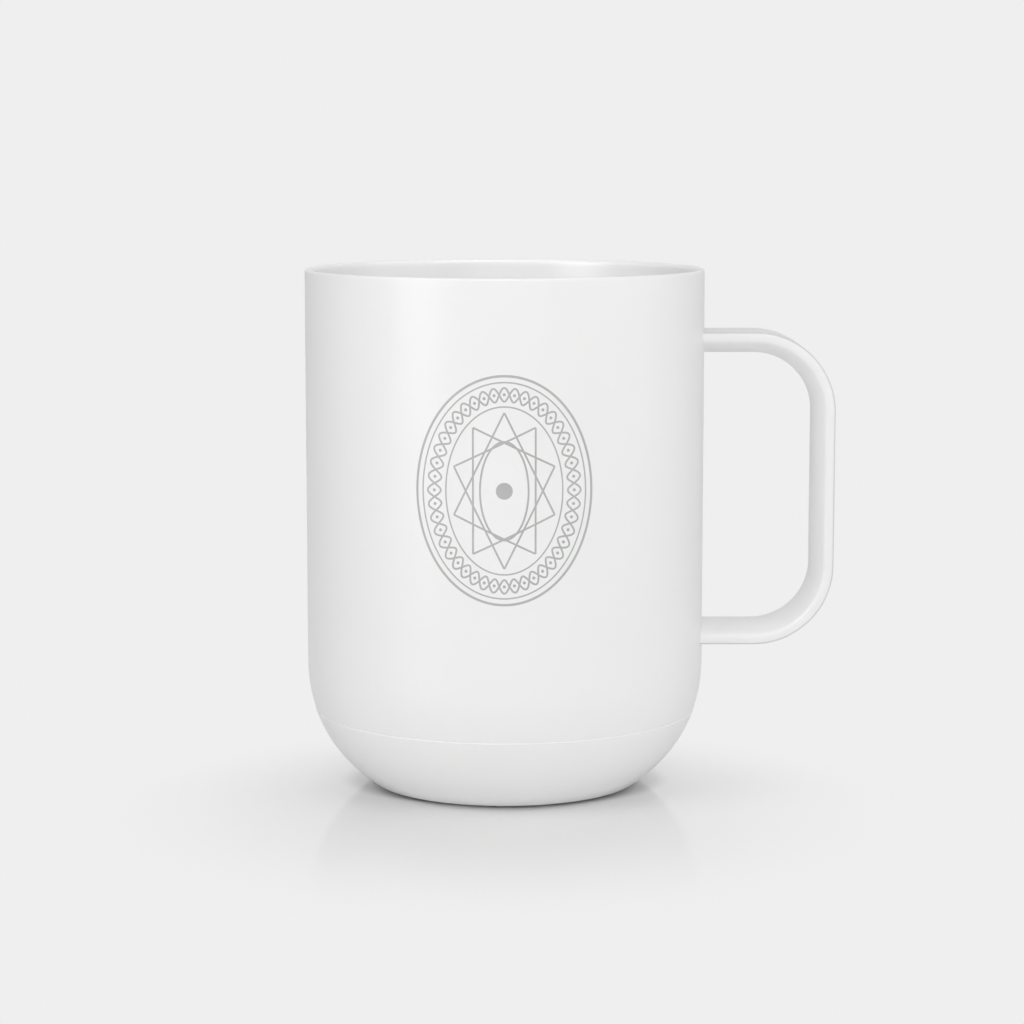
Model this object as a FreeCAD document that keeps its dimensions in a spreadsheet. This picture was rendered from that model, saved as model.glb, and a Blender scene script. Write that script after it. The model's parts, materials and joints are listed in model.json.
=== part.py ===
"""Self-heating mug: a double-walled steel cup with a strap handle, whose base holds
two cells, a control board, a film heater, charging contacts and a push button.

Millimetres. +Z is up, the origin is on the cup's axis at the height of the table,
the handle points along +X and the front of the mug faces -Y.
"""

import FreeCAD
import Part
import Sketcher
import os
import re

# Driving dimensions, in millimetres unless the name ends in count or angle

SIZES = {
    # Outer shell
    "mug_radius": 40.0,
    "mug_height": 104.4,
    "shell_wall": 0.8,
    "straight_wall_from": 25.0,
    "bowl_arc_radius": 29.0,
    "seam_height": 15.5,
    "seam_chamfer": 0.2,
    # Liner, which flares out to a thin rounded lip
    "lip_thickness": 0.9,
    "lip_skirt": 2.4,
    "flare_height": 12.0,
    "flare_blend_radius": 6.0,
    "liner_inset": 2.4,
    "liner_wall": 0.8,
    "liner_floor_height": 33.0,
    "liner_corner_radius": 12.0,
    # Handle: a strap with a flat outside, a straight rim on each side and a rounded inside
    "handle_reach": 66.0,
    "handle_top": 92.0,
    "handle_bottom": 29.1,
    "handle_corner_radius": 16.0,
    "strap_width": 14.0,
    "strap_thickness": 4.4,
    "strap_edge_radius": 0.3,
    "strap_rim": 1.8,
    "saddle_depth": 3.0,
    # Base cup
    "base_bottom": 0.7,
    "base_wall": 2.0,
    "base_edge_radius": 0.8,
    "tongue_height": 2.2,
    "tongue_wall": 1.4,
    "tongue_clearance": 0.15,
    "base_rim_width": 1.6,
    "ledge_thickness": 2.0,
    "ledge_width": 7.0,
    # Bottom cover
    "cover_clearance": 0.2,
    "cover_recess": 0.2,
    "cover_thickness": 2.4,
    "spigot_wall": 1.4,
    "spigot_height": 1.7,
    "cover_seal_inset": 1.6,
    "cover_seal_width": 1.2,
    "cover_seal_height": 0.8,
    # Foot ring
    "foot_inset": 1.0,
    "foot_width": 2.9,
    "foot_groove_depth": 0.8,
    "foot_edge_radius": 0.4,
    "groove_clearance": 0.1,
    # Charging contacts
    "contact_inset": 1.2,
    "contact_width": 1.9,
    "contact_thickness": 1.0,
    "pin_radius": 0.7,
    "pin_clearance": 0.05,
    "pin_angle": 45.0,
    # Button, boot and switch
    "button_radius": 4.2,
    "button_clearance": 0.08,
    "button_recess": 0.3,
    "button_edge_radius": 0.3,
    "dish_margin": 1.05,
    "dish_depth": 0.2,
    "button_flange_radius": 5.0,
    "button_flange_thickness": 0.6,
    "button_chamber_radius": 5.4,
    "button_stem_radius": 1.5,
    "button_travel": 0.5,
    "collar_wall": 1.4,
    "boot_height": 1.8,
    "boot_wall": 0.7,
    "boot_foot_width": 0.9,
    "boot_foot_height": 0.45,
    "boot_foot_rise": 0.65,
    "boot_rim_width": 1.2,
    "retainer_thickness": 0.6,
    "stem_clearance": 0.3,
    "switch_side": 6.0,
    "switch_height": 1.3,
    "switch_cover": 0.2,
    "plunger_radius": 1.2,
    "plunger_flange_radius": 1.7,
    "plunger_flange_thickness": 0.3,
    "plunger_rise": 0.6,
    "plunger_clearance": 0.08,
    "plunger_play": 0.1,
    # Screws: four of each kind
    "screw_count": 4,
    "diagonal_angle": 45.0,
    "cover_screw_radius": 0.8,
    "cover_screw_head_radius": 1.5,
    "cover_screw_head": 0.8,
    "cover_boss_radius": 1.8,
    "cover_boss_height": 1.7,
    "base_screw_radius": 1.0,
    "base_screw_head_radius": 1.75,
    "base_screw_head": 0.9,
    "thread_engagement_end": 0.3,
    "screw_clearance": 0.1,
    "thread_clearance": 0.02,
    # Battery carrier
    "plate_clearance": 7.5,
    "plate_bottom": 11.4,
    "plate_thickness": 1.4,
    "base_boss_radius": 2.3,
    "ear_clearance": 2.6,
    "ear_radius": 2.4,
    "cradle_side_wall": 1.4,
    "cradle_end_wall": 1.5,
    "cradle_height": 5.2,
    "cradle_corner": 4.0,
    "standoff_inset": 2.5,
    "standoff_radius": 1.9,
    "standoff_angle": 25.0,
    # Mounting ring
    "ring_wall": 3.4,
    "ring_height": 3.0,
    "lug_thickness": 2.0,
    "lug_width": 7.0,
    "lug_overhang": 2.8,
    "lug_root": 1.0,
    "gasket_height": 0.8,
    # Cells
    "cell_radius": 7.1,
    "cell_inset": 3.5,
    "cell_gap": 0.6,
    "cell_nub_radius": 2.5,
    "cell_nub_height": 1.0,
    "cell_nub_root": 1.0,
    "cradle_clearance": 0.1,
    "trough_floor": 0.2,
    "strip_thickness": 0.3,
    "strip_width": 4.0,
    "tab_width": 5.0,
    "tab_slot_clearance": 0.3,
    # Board and its parts
    "board_inset": 1.5,
    "board_bottom": 7.6,
    "board_thickness": 1.6,
    "board_hole_clearance": 0.2,
    "inductor_side": 6.0,
    "inductor_height": 1.8,
    "inductor_corner": 1.0,
    "inductor_right": 12.5,
    "inductor_back": 4.0,
    "connector_width": 10.0,
    "connector_depth": 4.0,
    "connector_height": 2.0,
    "led_width": 2.4,
    "led_depth": 1.6,
    "led_height": 1.7,
    "led_inset": 2.4,
    "guide_radius": 1.0,
    "guide_clearance": 0.1,
    "guide_gap": 0.2,
    "guide_skin": 0.7,
    # Heater stack under the liner
    "spreader_inset": 1.6,
    "spreader_thickness": 1.5,
    "film_inset": 2.0,
    "film_thickness": 0.3,
    "tail_width": 8.0,
    "tail_root": 1.0,
    "tail_overhang": 5.0,
    "tail_bend_radius": 1.0,
    "tail_slot_clearance": 0.6,
    "track_width": 1.5,
    "track_edge": 1.75,
    "track_thickness": 0.2,
    "track_first_radius": 6.0,
    "track_gap_half": 2.6,
    "track_count": 6,
    "insulation_gap": 0.3,
    "insulation_hole_radius": 3.0,
    "sensor_length": 2.0,
    "sensor_width": 1.2,
    "sensor_height": 0.8,
}

# Sizes that follow from the driving ones, as formulas of the sheet

DERIVED = {
    "bowl_centre": "mug_radius - bowl_arc_radius",
    "lip_half": "lip_thickness / 2",
    "lip_centre_height": "mug_height - lip_half",
    "lip_inner_radius": "mug_radius - lip_thickness",
    "liner_inner_radius": "mug_radius - liner_inset",
    "liner_outer_radius": "liner_inner_radius + liner_wall",
    "shell_inner_radius": "mug_radius - shell_wall",
    "shell_top": "lip_centre_height - lip_skirt",
    "flare_from": "lip_centre_height - flare_height",
    "flare_reach": "lip_inner_radius - liner_inner_radius",
    "flare_slope": "atan(flare_reach / flare_height)",
    "flare_blend": "flare_blend_radius * tan(flare_slope / 2)",
    "flare_back_from": "flare_from - liner_wall * tan(flare_slope / 2)",
    "flare_back_to": "flare_back_from"
                     " + (shell_inner_radius - liner_outer_radius) / tan(flare_slope)",
    "edge_centre_height": "base_bottom + base_edge_radius",
    "edge_centre_radius": "bowl_centre + sqrt((bowl_arc_radius - base_edge_radius)^2"
                          " - (straight_wall_from - edge_centre_height)^2)",
    "edge_scale": "bowl_arc_radius / (bowl_arc_radius - base_edge_radius)",
    "edge_end_radius": "bowl_centre + (edge_centre_radius - bowl_centre) * edge_scale",
    "edge_end_height": "straight_wall_from"
                       " - (straight_wall_from - edge_centre_height) * edge_scale",
    "cover_bottom": "base_bottom + cover_recess",
    "ledge_bottom": "cover_bottom + cover_thickness",
    "ledge_top": "ledge_bottom + ledge_thickness",
    "rebate_radius": "edge_centre_radius - base_rim_width",
    "cover_radius": "rebate_radius - cover_clearance",
    "ledge_hole_radius": "rebate_radius - ledge_width",
    "spigot_radius": "ledge_hole_radius - cover_clearance",
    "spigot_inner_radius": "spigot_radius - spigot_wall",
    "cover_seal_radius": "ledge_hole_radius + cover_seal_inset",
    "tongue_radius": "bowl_centre + sqrt((bowl_arc_radius - shell_wall)^2"
                     " - (straight_wall_from - seam_height)^2) - tongue_clearance",
    "tongue_inner_radius": "tongue_radius - tongue_wall",
    "tongue_top": "seam_height + tongue_height",
    "tongue_foot": "straight_wall_from - sqrt((bowl_arc_radius - base_wall)^2"
                   " - (tongue_inner_radius - bowl_centre)^2)",
    "ring_bottom": "tongue_top + gasket_height",
    "groove_top": "cover_bottom + foot_groove_depth",
    "foot_half": "foot_width / 2",
    "foot_radius": "cover_radius - foot_inset - foot_half",
    "screw_circle_radius": "foot_radius",
    "contact_half": "contact_width / 2",
    "contact_top": "cover_bottom + contact_thickness",
    "button_bottom": "cover_bottom + button_recess",
    "chamber_floor": "ledge_bottom - button_flange_thickness",
    "collar_top": "ledge_bottom + boot_height",
    "retainer_top": "collar_top + retainer_thickness",
    "collar_radius": "button_chamber_radius + collar_wall",
    "inner_contact_radius": "collar_radius + contact_inset",
    "outer_contact_radius": "(inner_contact_radius + spigot_inner_radius) / 2",
    "dish_radius": "button_radius - dish_margin",
    "dish_arc_radius": "(dish_radius^2 + dish_depth^2) / (2 * dish_depth)",
    "switch_bottom": "board_bottom - switch_height",
    "plunger_bottom": "switch_bottom - plunger_rise",
    "plunger_flange_bottom": "switch_bottom + switch_cover",
    "plunger_flange_top": "plunger_flange_bottom + plunger_flange_thickness",
    "switch_pocket_top": "plunger_flange_top + button_travel + plunger_play / 2",
    "ear_circle_radius": "tongue_inner_radius - ear_clearance - ear_radius",
    "ring_inner_radius": "bowl_centre + sqrt((bowl_arc_radius - shell_wall)^2"
                         " - (straight_wall_from - ring_bottom)^2) - ring_wall",
    "plate_radius": "tongue_inner_radius - plate_clearance",
    "plate_top": "plate_bottom + plate_thickness",
    "board_radius": "plate_radius - board_inset",
    "board_top": "board_bottom + board_thickness",
    "standoff_circle_radius": "board_radius - standoff_inset",
    "led_setback": "board_radius - led_inset",
    "cell_offset": "cell_radius + cell_gap / 2",
    "trough_radius": "cell_radius + cradle_clearance",
    "cradle_half_width": "cell_offset + trough_radius + cradle_side_wall",
    "cell_axis_height": "plate_top + trough_floor + trough_radius",
    "cell_top": "cell_axis_height + cell_radius",
    "cell_half": "plate_radius - cell_inset",
    "cell_length": "2 * cell_half",
    "cradle_half_length": "cell_half + strip_thickness + cradle_clearance",
    "spreader_radius": "liner_inner_radius - liner_corner_radius - spreader_inset",
    "film_radius": "spreader_radius - film_inset",
    "tail_distance": "film_radius + tail_overhang",
    "track_last_radius": "film_radius - track_edge - track_width / 2",
    "track_pitch": "(track_last_radius - track_first_radius) / (track_count - 1)",
    "spreader_bottom": "liner_floor_height - liner_wall - spreader_thickness",
    "film_bottom": "spreader_bottom - film_thickness",
    "track_bottom": "film_bottom - track_thickness",
    "insulation_bottom": "cell_top + insulation_gap",
    "tail_end_height": "board_top + connector_height / 2",
    "guide_height": "board_top + guide_radius + guide_clearance",
    "guide_front": "bowl_centre + sqrt(bowl_arc_radius^2"
                   " - (straight_wall_from - guide_height + guide_radius)^2) - guide_skin",
    "strap_half_width": "strap_width / 2",
    "belly_depth": "strap_thickness - strap_rim",
    "belly_radius": "(strap_half_width^2 + belly_depth^2) / (2 * belly_depth)",
    "belly_edge": "handle_top - strap_rim",
}

# Lengths and volumes below this count as none
TINY = 1e-6

doc = FreeCAD.newDocument("SelfHeatingMug")
sheet = doc.addObject("Spreadsheet::Sheet", "Sizes")


def fill_sheet():
    """Write every size to its own named cell."""
    cells = [(name, str(number)) for name, number in SIZES.items()]
    cells += [(name, "=" + text) for name, text in DERIVED.items()]
    for row, (name, content) in enumerate(cells, start=1):
        sheet.set(f"A{row}", name)
        sheet.set(f"B{row}", content)
        sheet.setAlias(f"B{row}", name)
    doc.recompute()


def bound(text):
    """The formula with each size's name pointed at the sheet."""
    return re.sub(r"\b([a-z_]+)\b(?!\()", r"Sizes.\1", text)


def size(text):
    """The number that a formula of the sheet's sizes gives now."""
    return float(sheet.evalExpression(text))


def bowl(height, inset="0"):
    """Formula for the radius of the bowl at a height, set in from the outside."""
    return (f"(bowl_centre + sqrt((bowl_arc_radius - ({inset}))^2"
            f" - (straight_wall_from - ({height}))^2))")


# Sketches and features

def new_body(label):
    body = doc.addObject("PartDesign::Body", label)
    body.Label = label
    return body


def new_sketch(body, role="XZ_Plane", level=None):
    """A sketch on one of the body's own origin planes, lifted off it by level."""
    plane = next(item for item in body.Origin.OriginFeatures if item.Role == role)
    sketch = body.newObject("Sketcher::SketchObject", body.Label + "_sketch")
    sketch.AttachmentSupport = [(plane, "")]
    sketch.MapMode = "FlatFace"
    if level is not None:
        sketch.setExpression("AttachmentOffset.Base.z", bound(level))
    return sketch


def place_point(sketch, edge, point, x, y):
    """Fix a point of an edge at x and y, each a formula of the sheet."""
    for kind, axis, text in (("DistanceX", -2, x), ("DistanceY", -1, y)):
        number = size(text)
        if abs(number) < TINY:
            sketch.addConstraint(Sketcher.Constraint("PointOnObject", edge, point, axis))
        elif number > 0:
            row = sketch.addConstraint(Sketcher.Constraint(kind, -1, 1, edge, point, number))
            sketch.setExpression(f"Constraints[{row}]", bound(text))
        else:
            row = sketch.addConstraint(Sketcher.Constraint(kind, edge, point, -1, 1, -number))
            sketch.setExpression(f"Constraints[{row}]", bound(f"-({text})"))


def set_radius(sketch, edge, text):
    row = sketch.addConstraint(Sketcher.Constraint("Radius", edge, size(text)))
    sketch.setExpression(f"Constraints[{row}]", bound(text))


def arc_through(start, end, radius, left):
    """The short arc from start to end, turning left or right, and whether it runs back."""
    middle = (start + end) * 0.5
    chord = end - start
    rise = max(radius ** 2 - (chord.Length / 2) ** 2, 0.0) ** 0.5
    across = FreeCAD.Vector(-chord.y, chord.x, 0).normalize()
    centre = middle + across * (rise if left else -rise)
    first, last = (start, end) if left else (end, start)
    circle = Part.Circle(centre, FreeCAD.Vector(0, 0, 1), radius)
    return Part.ArcOfCircle(circle, circle.parameter(first), circle.parameter(last))


def outline(sketch, corners, closed=True):
    """Draw an outline through corners of (x, y) or (x, y, turn, radius).

    The turn, "left" or "right", makes the edge that leaves the corner an arc.
    """
    spots = [FreeCAD.Vector(size(corner[0]), size(corner[1]), 0) for corner in corners]
    count = len(corners) if closed else len(corners) - 1
    ends = []
    for number in range(count):
        corner = corners[number]
        start = spots[number]
        end = spots[(number + 1) % len(spots)]
        if len(corner) == 2:
            edge = sketch.addGeometry(Part.LineSegment(start, end), False)
            ends.append((edge, 1, 2))
            continue
        left = corner[2] == "left"
        arc = arc_through(start, end, size(corner[3]), left)
        edge = sketch.addGeometry(arc, False)
        ends.append((edge, 1, 2) if left else (edge, 2, 1))
        set_radius(sketch, edge, corner[3])
    for number, (edge, first, _) in enumerate(ends):
        place_point(sketch, edge, first, corners[number][0], corners[number][1])
    joins = range(count) if closed else range(count - 1)
    for number in joins:
        edge, _, last = ends[number]
        after, first, _ = ends[(number + 1) % count]
        sketch.addConstraint(Sketcher.Constraint("Coincident", edge, last, after, first))
    if not closed:
        edge, _, last = ends[-1]
        place_point(sketch, edge, last, corners[-1][0], corners[-1][1])
    return sketch


def circle(sketch, x, y, radius):
    spot = FreeCAD.Vector(size(x), size(y), 0)
    edge = sketch.addGeometry(
        Part.Circle(spot, FreeCAD.Vector(0, 0, 1), size(radius)), False)
    place_point(sketch, edge, 3, x, y)
    set_radius(sketch, edge, radius)
    return sketch


def rectangle(sketch, left, bottom, right, top):
    return outline(sketch, [(left, bottom), (right, bottom), (right, top), (left, top)])


def revolve(body, sketch):
    """Turn the outline about the mug's axis."""
    feature = body.newObject("PartDesign::Revolution", body.Label + "_turned")
    feature.Profile = sketch
    feature.ReferenceAxis = (sketch, ["V_Axis"])
    feature.Angle = 360
    return feature


def turned(label, corners):
    """A body turned about the mug's axis from one outline."""
    body = new_body(label)
    revolve(body, outline(new_sketch(body), corners))
    return body


def pad(body, sketch, length, both=False):
    feature = body.newObject("PartDesign::Pad", body.Label + "_pad")
    feature.Profile = sketch
    feature.SideType = "Symmetric" if both else "One side"
    feature.setExpression("Length", bound(length))
    return feature


def pocket(body, sketch, length, both=False):
    """Cut upwards or forwards from the sketch, or to both sides of it."""
    doc.recompute()
    before = body.Shape.Volume
    feature = body.newObject("PartDesign::Pocket", body.Label + "_cut")
    feature.Profile = sketch
    feature.SideType = "Symmetric" if both else "One side"
    feature.setExpression("Length", bound(length))
    feature.Reversed = not both
    doc.recompute()
    if body.Shape.Volume >= before - TINY:
        raise RuntimeError(f"a cut in {body.Label} removes nothing")
    return feature


def around(body, features, count="screw_count"):
    """Repeat features evenly about the mug's axis."""
    pattern = body.newObject("PartDesign::PolarPattern", body.Label + "_pattern")
    pattern.Originals = features
    pattern.Axis = (features[0].Profile[0], ["N_Axis"])
    pattern.Angle = 360
    pattern.setExpression("Occurrences", bound(count))
    body.Tip = pattern
    return pattern


def on_circle(radius, angle):
    """The formulas of a point at an angle on a circle about the axis."""
    return f"({radius}) * cos({angle})", f"({radius}) * sin({angle})"


def slanted(along, aside, angle):
    """The formulas of a point along a ray at an angle and to its left."""
    return (f"({along}) * cos({angle}) - ({aside}) * sin({angle})",
            f"({along}) * sin({angle}) + ({aside}) * cos({angle})")


def ring(label, inner, outer, bottom, top):
    """A plain ring of rectangular section."""
    return turned(label, [(inner, bottom), (outer, bottom), (outer, top), (inner, top)])


# The cup

def outer_shell():
    return turned("outer_shell", [
        (bowl("seam_height", "shell_wall"), "seam_height"),
        (bowl("seam_height"), "seam_height", "left", "bowl_arc_radius"),
        ("mug_radius", "straight_wall_from"),
        ("mug_radius", "shell_top"),
        ("shell_inner_radius", "shell_top"),
        ("shell_inner_radius", "straight_wall_from",
         "right", "bowl_arc_radius - shell_wall"),
    ])


def inner_liner():
    """The cup that holds the drink: it flares to the shell, and its lip closes on it."""
    floor_edge = "liner_inner_radius - liner_corner_radius"
    return turned("inner_liner", [
        ("0", "liner_floor_height - liner_wall"),
        (floor_edge, "liner_floor_height - liner_wall",
         "left", "liner_corner_radius + liner_wall"),
        ("liner_outer_radius", "liner_floor_height + liner_corner_radius"),
        ("liner_outer_radius", "flare_back_from"),
        ("shell_inner_radius", "flare_back_to"),
        ("shell_inner_radius", "shell_top"),
        ("mug_radius", "shell_top"),
        ("mug_radius", "lip_centre_height", "left", "lip_half"),
        ("mug_radius - lip_half", "mug_height", "left", "lip_half"),
        ("lip_inner_radius", "lip_centre_height"),
        ("liner_inner_radius + flare_blend * sin(flare_slope)",
         "flare_from + flare_blend * cos(flare_slope)", "left", "flare_blend_radius"),
        ("liner_inner_radius", "flare_from - flare_blend"),
        ("liner_inner_radius", "liner_floor_height + liner_corner_radius",
         "right", "liner_corner_radius"),
        (floor_edge, "liner_floor_height"),
        ("0", "liner_floor_height"),
    ])


def handle():
    """A strap swept round two corners, its ends cut to the shell.

    The section is flat outside, with small edges and a straight rim on each side;
    inside it is one belly arc from rim to rim.
    """
    body = new_body("handle")
    start = "mug_radius - saddle_depth"
    bend = "handle_corner_radius"
    path = outline(new_sketch(body), [
        (start, "handle_top"),
        (f"handle_reach - {bend}", "handle_top", "right", bend),
        ("handle_reach", f"handle_top - {bend}"),
        ("handle_reach", f"handle_bottom + {bend}", "right", bend),
        (f"handle_reach - {bend}", "handle_bottom"),
        (start, "handle_bottom"),
    ], closed=False)
    edge = "strap_edge_radius"
    section = outline(new_sketch(body, "YZ_Plane", start), [
        ("strap_half_width", f"handle_top - {edge}", "left", edge),
        (f"strap_half_width - {edge}", "handle_top"),
        (f"-(strap_half_width - {edge})", "handle_top", "left", edge),
        ("-strap_half_width", f"handle_top - {edge}"),
        ("-strap_half_width", "belly_edge", "left", "belly_radius"),
        ("strap_half_width", "belly_edge"),
    ])
    strap = body.newObject("PartDesign::AdditivePipe", "handle_strap")
    strap.Profile = section
    strap.Spine = (path, [f"Edge{number}" for number in range(1, 6)])
    saddle = circle(new_sketch(body, "XY_Plane"), "0", "0", "mug_radius")
    pocket(body, saddle, "mug_height")
    return body


# The base

def mounting_ring():
    """A ring that follows the shell's inner face, with threaded lugs."""
    body = turned("mounting_ring", [
        ("ring_inner_radius", "ring_bottom"),
        (bowl("ring_bottom", "shell_wall"), "ring_bottom",
         "left", "bowl_arc_radius - shell_wall"),
        (bowl("ring_bottom + ring_height", "shell_wall"), "ring_bottom + ring_height"),
        ("ring_inner_radius", "ring_bottom + ring_height"),
    ])
    inner = "ear_circle_radius - lug_overhang"
    lug = new_sketch(body, "XY_Plane", "ring_bottom")
    outer = "ring_inner_radius + lug_root"
    rectangle(lug, inner, "-lug_width / 2", outer, "lug_width / 2")
    plate = pad(body, lug, "lug_thickness")
    hole = new_sketch(body, "XY_Plane", "ring_bottom")
    circle(hole, "ear_circle_radius", "0", "base_screw_radius + thread_clearance")
    thread = pocket(body, hole, "lug_thickness")
    around(body, [plate, thread])
    body.setExpression("Placement.Rotation.Angle", bound("diagonal_angle"))
    return body


def base_cup():
    """The bowl below the seam, with a ledge for the cover and bosses for its screws."""
    body = turned("base_cup", [
        ("rebate_radius", "base_bottom"),
        ("edge_centre_radius", "base_bottom", "left", "base_edge_radius"),
        ("edge_end_radius", "edge_end_height", "left", "bowl_arc_radius"),
        (bowl("seam_height - seam_chamfer"), "seam_height - seam_chamfer"),
        (bowl("seam_height") + " - seam_chamfer", "seam_height"),
        ("tongue_radius", "seam_height"),
        ("tongue_radius", "tongue_top"),
        ("tongue_inner_radius", "tongue_top"),
        ("tongue_inner_radius", "tongue_foot", "right", "bowl_arc_radius - base_wall"),
        (bowl("ledge_top", "base_wall"), "ledge_top"),
        ("ledge_hole_radius", "ledge_top"),
        ("ledge_hole_radius", "ledge_bottom"),
        ("rebate_radius", "ledge_bottom"),
    ])
    boss_spot = ("screw_circle_radius", "0")
    boss = circle(new_sketch(body, "XY_Plane", "ledge_top"), *boss_spot, "cover_boss_radius")
    post = pad(body, boss, "cover_boss_height")
    hole = circle(new_sketch(body, "XY_Plane", "ledge_bottom"), *boss_spot,
                  "cover_screw_radius + thread_clearance")
    thread = pocket(body, hole, "ledge_thickness + cover_boss_height - thread_engagement_end")
    around(body, [post, thread])
    spot = on_circle("screw_circle_radius", "diagonal_angle")
    sink = circle(new_sketch(body, "XY_Plane", "ledge_bottom"), *spot,
                  "base_screw_head_radius + screw_clearance")
    sunk = pocket(body, sink, "base_screw_head + screw_clearance")
    bore = circle(new_sketch(body, "XY_Plane", "ledge_bottom"), *spot,
                  "base_screw_radius + screw_clearance")
    through = pocket(body, bore, "ledge_thickness")
    around(body, [sunk, through])
    light = circle(new_sketch(body, "XZ_Plane"), "0", "guide_height",
                   "guide_radius + guide_clearance")
    pocket(body, light, "guide_front + guide_clearance")
    return body


def groove_corners(centre, half, bottom, top):
    """The four corners of a ring groove that is open at the bottom."""
    return [
        (f"{centre} - {half}", bottom),
        (f"{centre} - {half}", top),
        (f"{centre} + {half}", top),
        (f"{centre} + {half}", bottom),
    ]


def bottom_cover():
    """The disc that closes the base, grooved for contacts, foot and seal."""
    contact_half = "(contact_half + pin_clearance)"
    foot_half = "(foot_half + groove_clearance)"
    seal_half = "(cover_seal_width / 2)"
    seal_floor = "ledge_bottom - cover_seal_height"
    corners = [("button_radius + button_clearance", "cover_bottom")]
    corners += groove_corners("inner_contact_radius", contact_half,
                              "cover_bottom", "contact_top")
    corners += groove_corners("outer_contact_radius", contact_half,
                              "cover_bottom", "contact_top")
    corners += groove_corners("foot_radius", foot_half, "cover_bottom", "groove_top")
    corners += [
        ("cover_radius", "cover_bottom"),
        ("cover_radius", "ledge_bottom"),
        (f"cover_seal_radius + {seal_half}", "ledge_bottom"),
        (f"cover_seal_radius + {seal_half}", seal_floor),
        (f"cover_seal_radius - {seal_half}", seal_floor),
        (f"cover_seal_radius - {seal_half}", "ledge_bottom"),
        ("spigot_radius", "ledge_bottom"),
        ("spigot_radius", "ledge_bottom + spigot_height"),
        ("spigot_inner_radius", "ledge_bottom + spigot_height"),
        ("spigot_inner_radius", "ledge_bottom"),
        ("collar_radius", "ledge_bottom"),
        ("collar_radius", "collar_top"),
        ("button_chamber_radius", "collar_top"),
        ("button_chamber_radius", "chamber_floor"),
        ("button_radius + button_clearance", "chamber_floor"),
    ]
    body = turned("bottom_cover", corners)
    sink = circle(new_sketch(body, "XY_Plane", "groove_top"), "screw_circle_radius", "0",
                  "cover_screw_head_radius + screw_clearance")
    sunk = pocket(body, sink, "cover_screw_head")
    bore = circle(new_sketch(body, "XY_Plane", "groove_top"), "screw_circle_radius", "0",
                  "cover_screw_radius + screw_clearance")
    through = pocket(body, bore, "ledge_bottom - groove_top")
    around(body, [sunk, through])
    for spot in pin_spots():
        hole = circle(new_sketch(body, "XY_Plane", "contact_top"), *spot,
                      "pin_radius + pin_clearance")
        pocket(body, hole, "ledge_bottom - contact_top")
    return body


def foot_ring():
    inner = "foot_radius - foot_half"
    outer = "foot_radius + foot_half"
    edge = "foot_edge_radius"
    return turned("foot_ring", [
        (f"{inner} + {edge}", "0"),
        (f"{outer} - {edge}", "0", "left", edge),
        (outer, edge),
        (outer, "groove_top"),
        (inner, "groove_top"),
        (inner, edge, "left", edge),
    ])


def cover_seal():
    return ring("cover_seal",
                "cover_seal_radius - cover_seal_width / 2",
                "cover_seal_radius + cover_seal_width / 2",
                "ledge_bottom - cover_seal_height", "ledge_bottom")


def seam_gasket():
    return ring("seam_gasket", "tongue_inner_radius", "tongue_radius",
                "tongue_top", "ring_bottom")


def charge_ring(label, radius):
    return ring(label, f"{radius} - contact_half", f"{radius} + contact_half",
                "cover_bottom", "contact_top")


def pin_spots():
    """Two pins on each charging ring, on opposite sides."""
    return [on_circle("inner_contact_radius", "pin_angle"),
            on_circle("inner_contact_radius", "pin_angle + 180"),
            on_circle("outer_contact_radius", "pin_angle + 90"),
            on_circle("outer_contact_radius", "pin_angle + 270")]


# Screws and other groups of like solids

def group(label, members):
    """Several separate solids kept as one sub-part."""
    compound = doc.addObject("Part::Compound", label)
    compound.Label = label
    compound.Links = members
    return compound


def cylinder(name, spot, bottom, radius, height):
    """An upright cylinder on a point of the plan."""
    solid = doc.addObject("Part::Cylinder", name)
    solid.setExpression("Radius", bound(radius))
    solid.setExpression("Height", bound(height))
    solid.setExpression("Placement.Base.x", bound(spot[0]))
    solid.setExpression("Placement.Base.y", bound(spot[1]))
    solid.setExpression("Placement.Base.z", bound(bottom))
    return solid


def block(name, left, front, bottom, width, depth, height):
    """A box by its least corner and its three sides, all formulas."""
    solid = doc.addObject("Part::Box", name)
    sides = (("Length", width), ("Width", depth), ("Height", height),
             ("Placement.Base.x", left), ("Placement.Base.y", front),
             ("Placement.Base.z", bottom))
    for property_name, text in sides:
        solid.setExpression(property_name, bound(text))
    return solid


def cut(name, base, tool):
    result = doc.addObject("Part::Cut", name)
    result.Base = base
    result.Tool = tool
    return result


def fuse(name, first, second):
    result = doc.addObject("Part::Fuse", name)
    result.Base = first
    result.Tool = second
    return result


def screws(label, circle_radius, angle, bottom, top, radius, head_radius, head):
    """Four screws that point up, each with a head drilled for its driver."""
    members = []
    for number in range(int(size("screw_count"))):
        spot = on_circle(circle_radius, f"{angle} + {number} * 360 / screw_count")
        name = f"{label}_{number}"
        cap = cylinder(name + "_head", spot, bottom, head_radius, head)
        shank = cylinder(name + "_shank", spot, f"{bottom} + {head} / 2", radius,
                         f"({top}) - ({bottom}) - {head} / 2")
        drive = cylinder(name + "_drive", spot, bottom, f"{head_radius} / 2",
                         f"{head} / 3")
        members.append(cut(name, fuse(name + "_solid", cap, shank), drive))
    return group(label, members)


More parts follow.
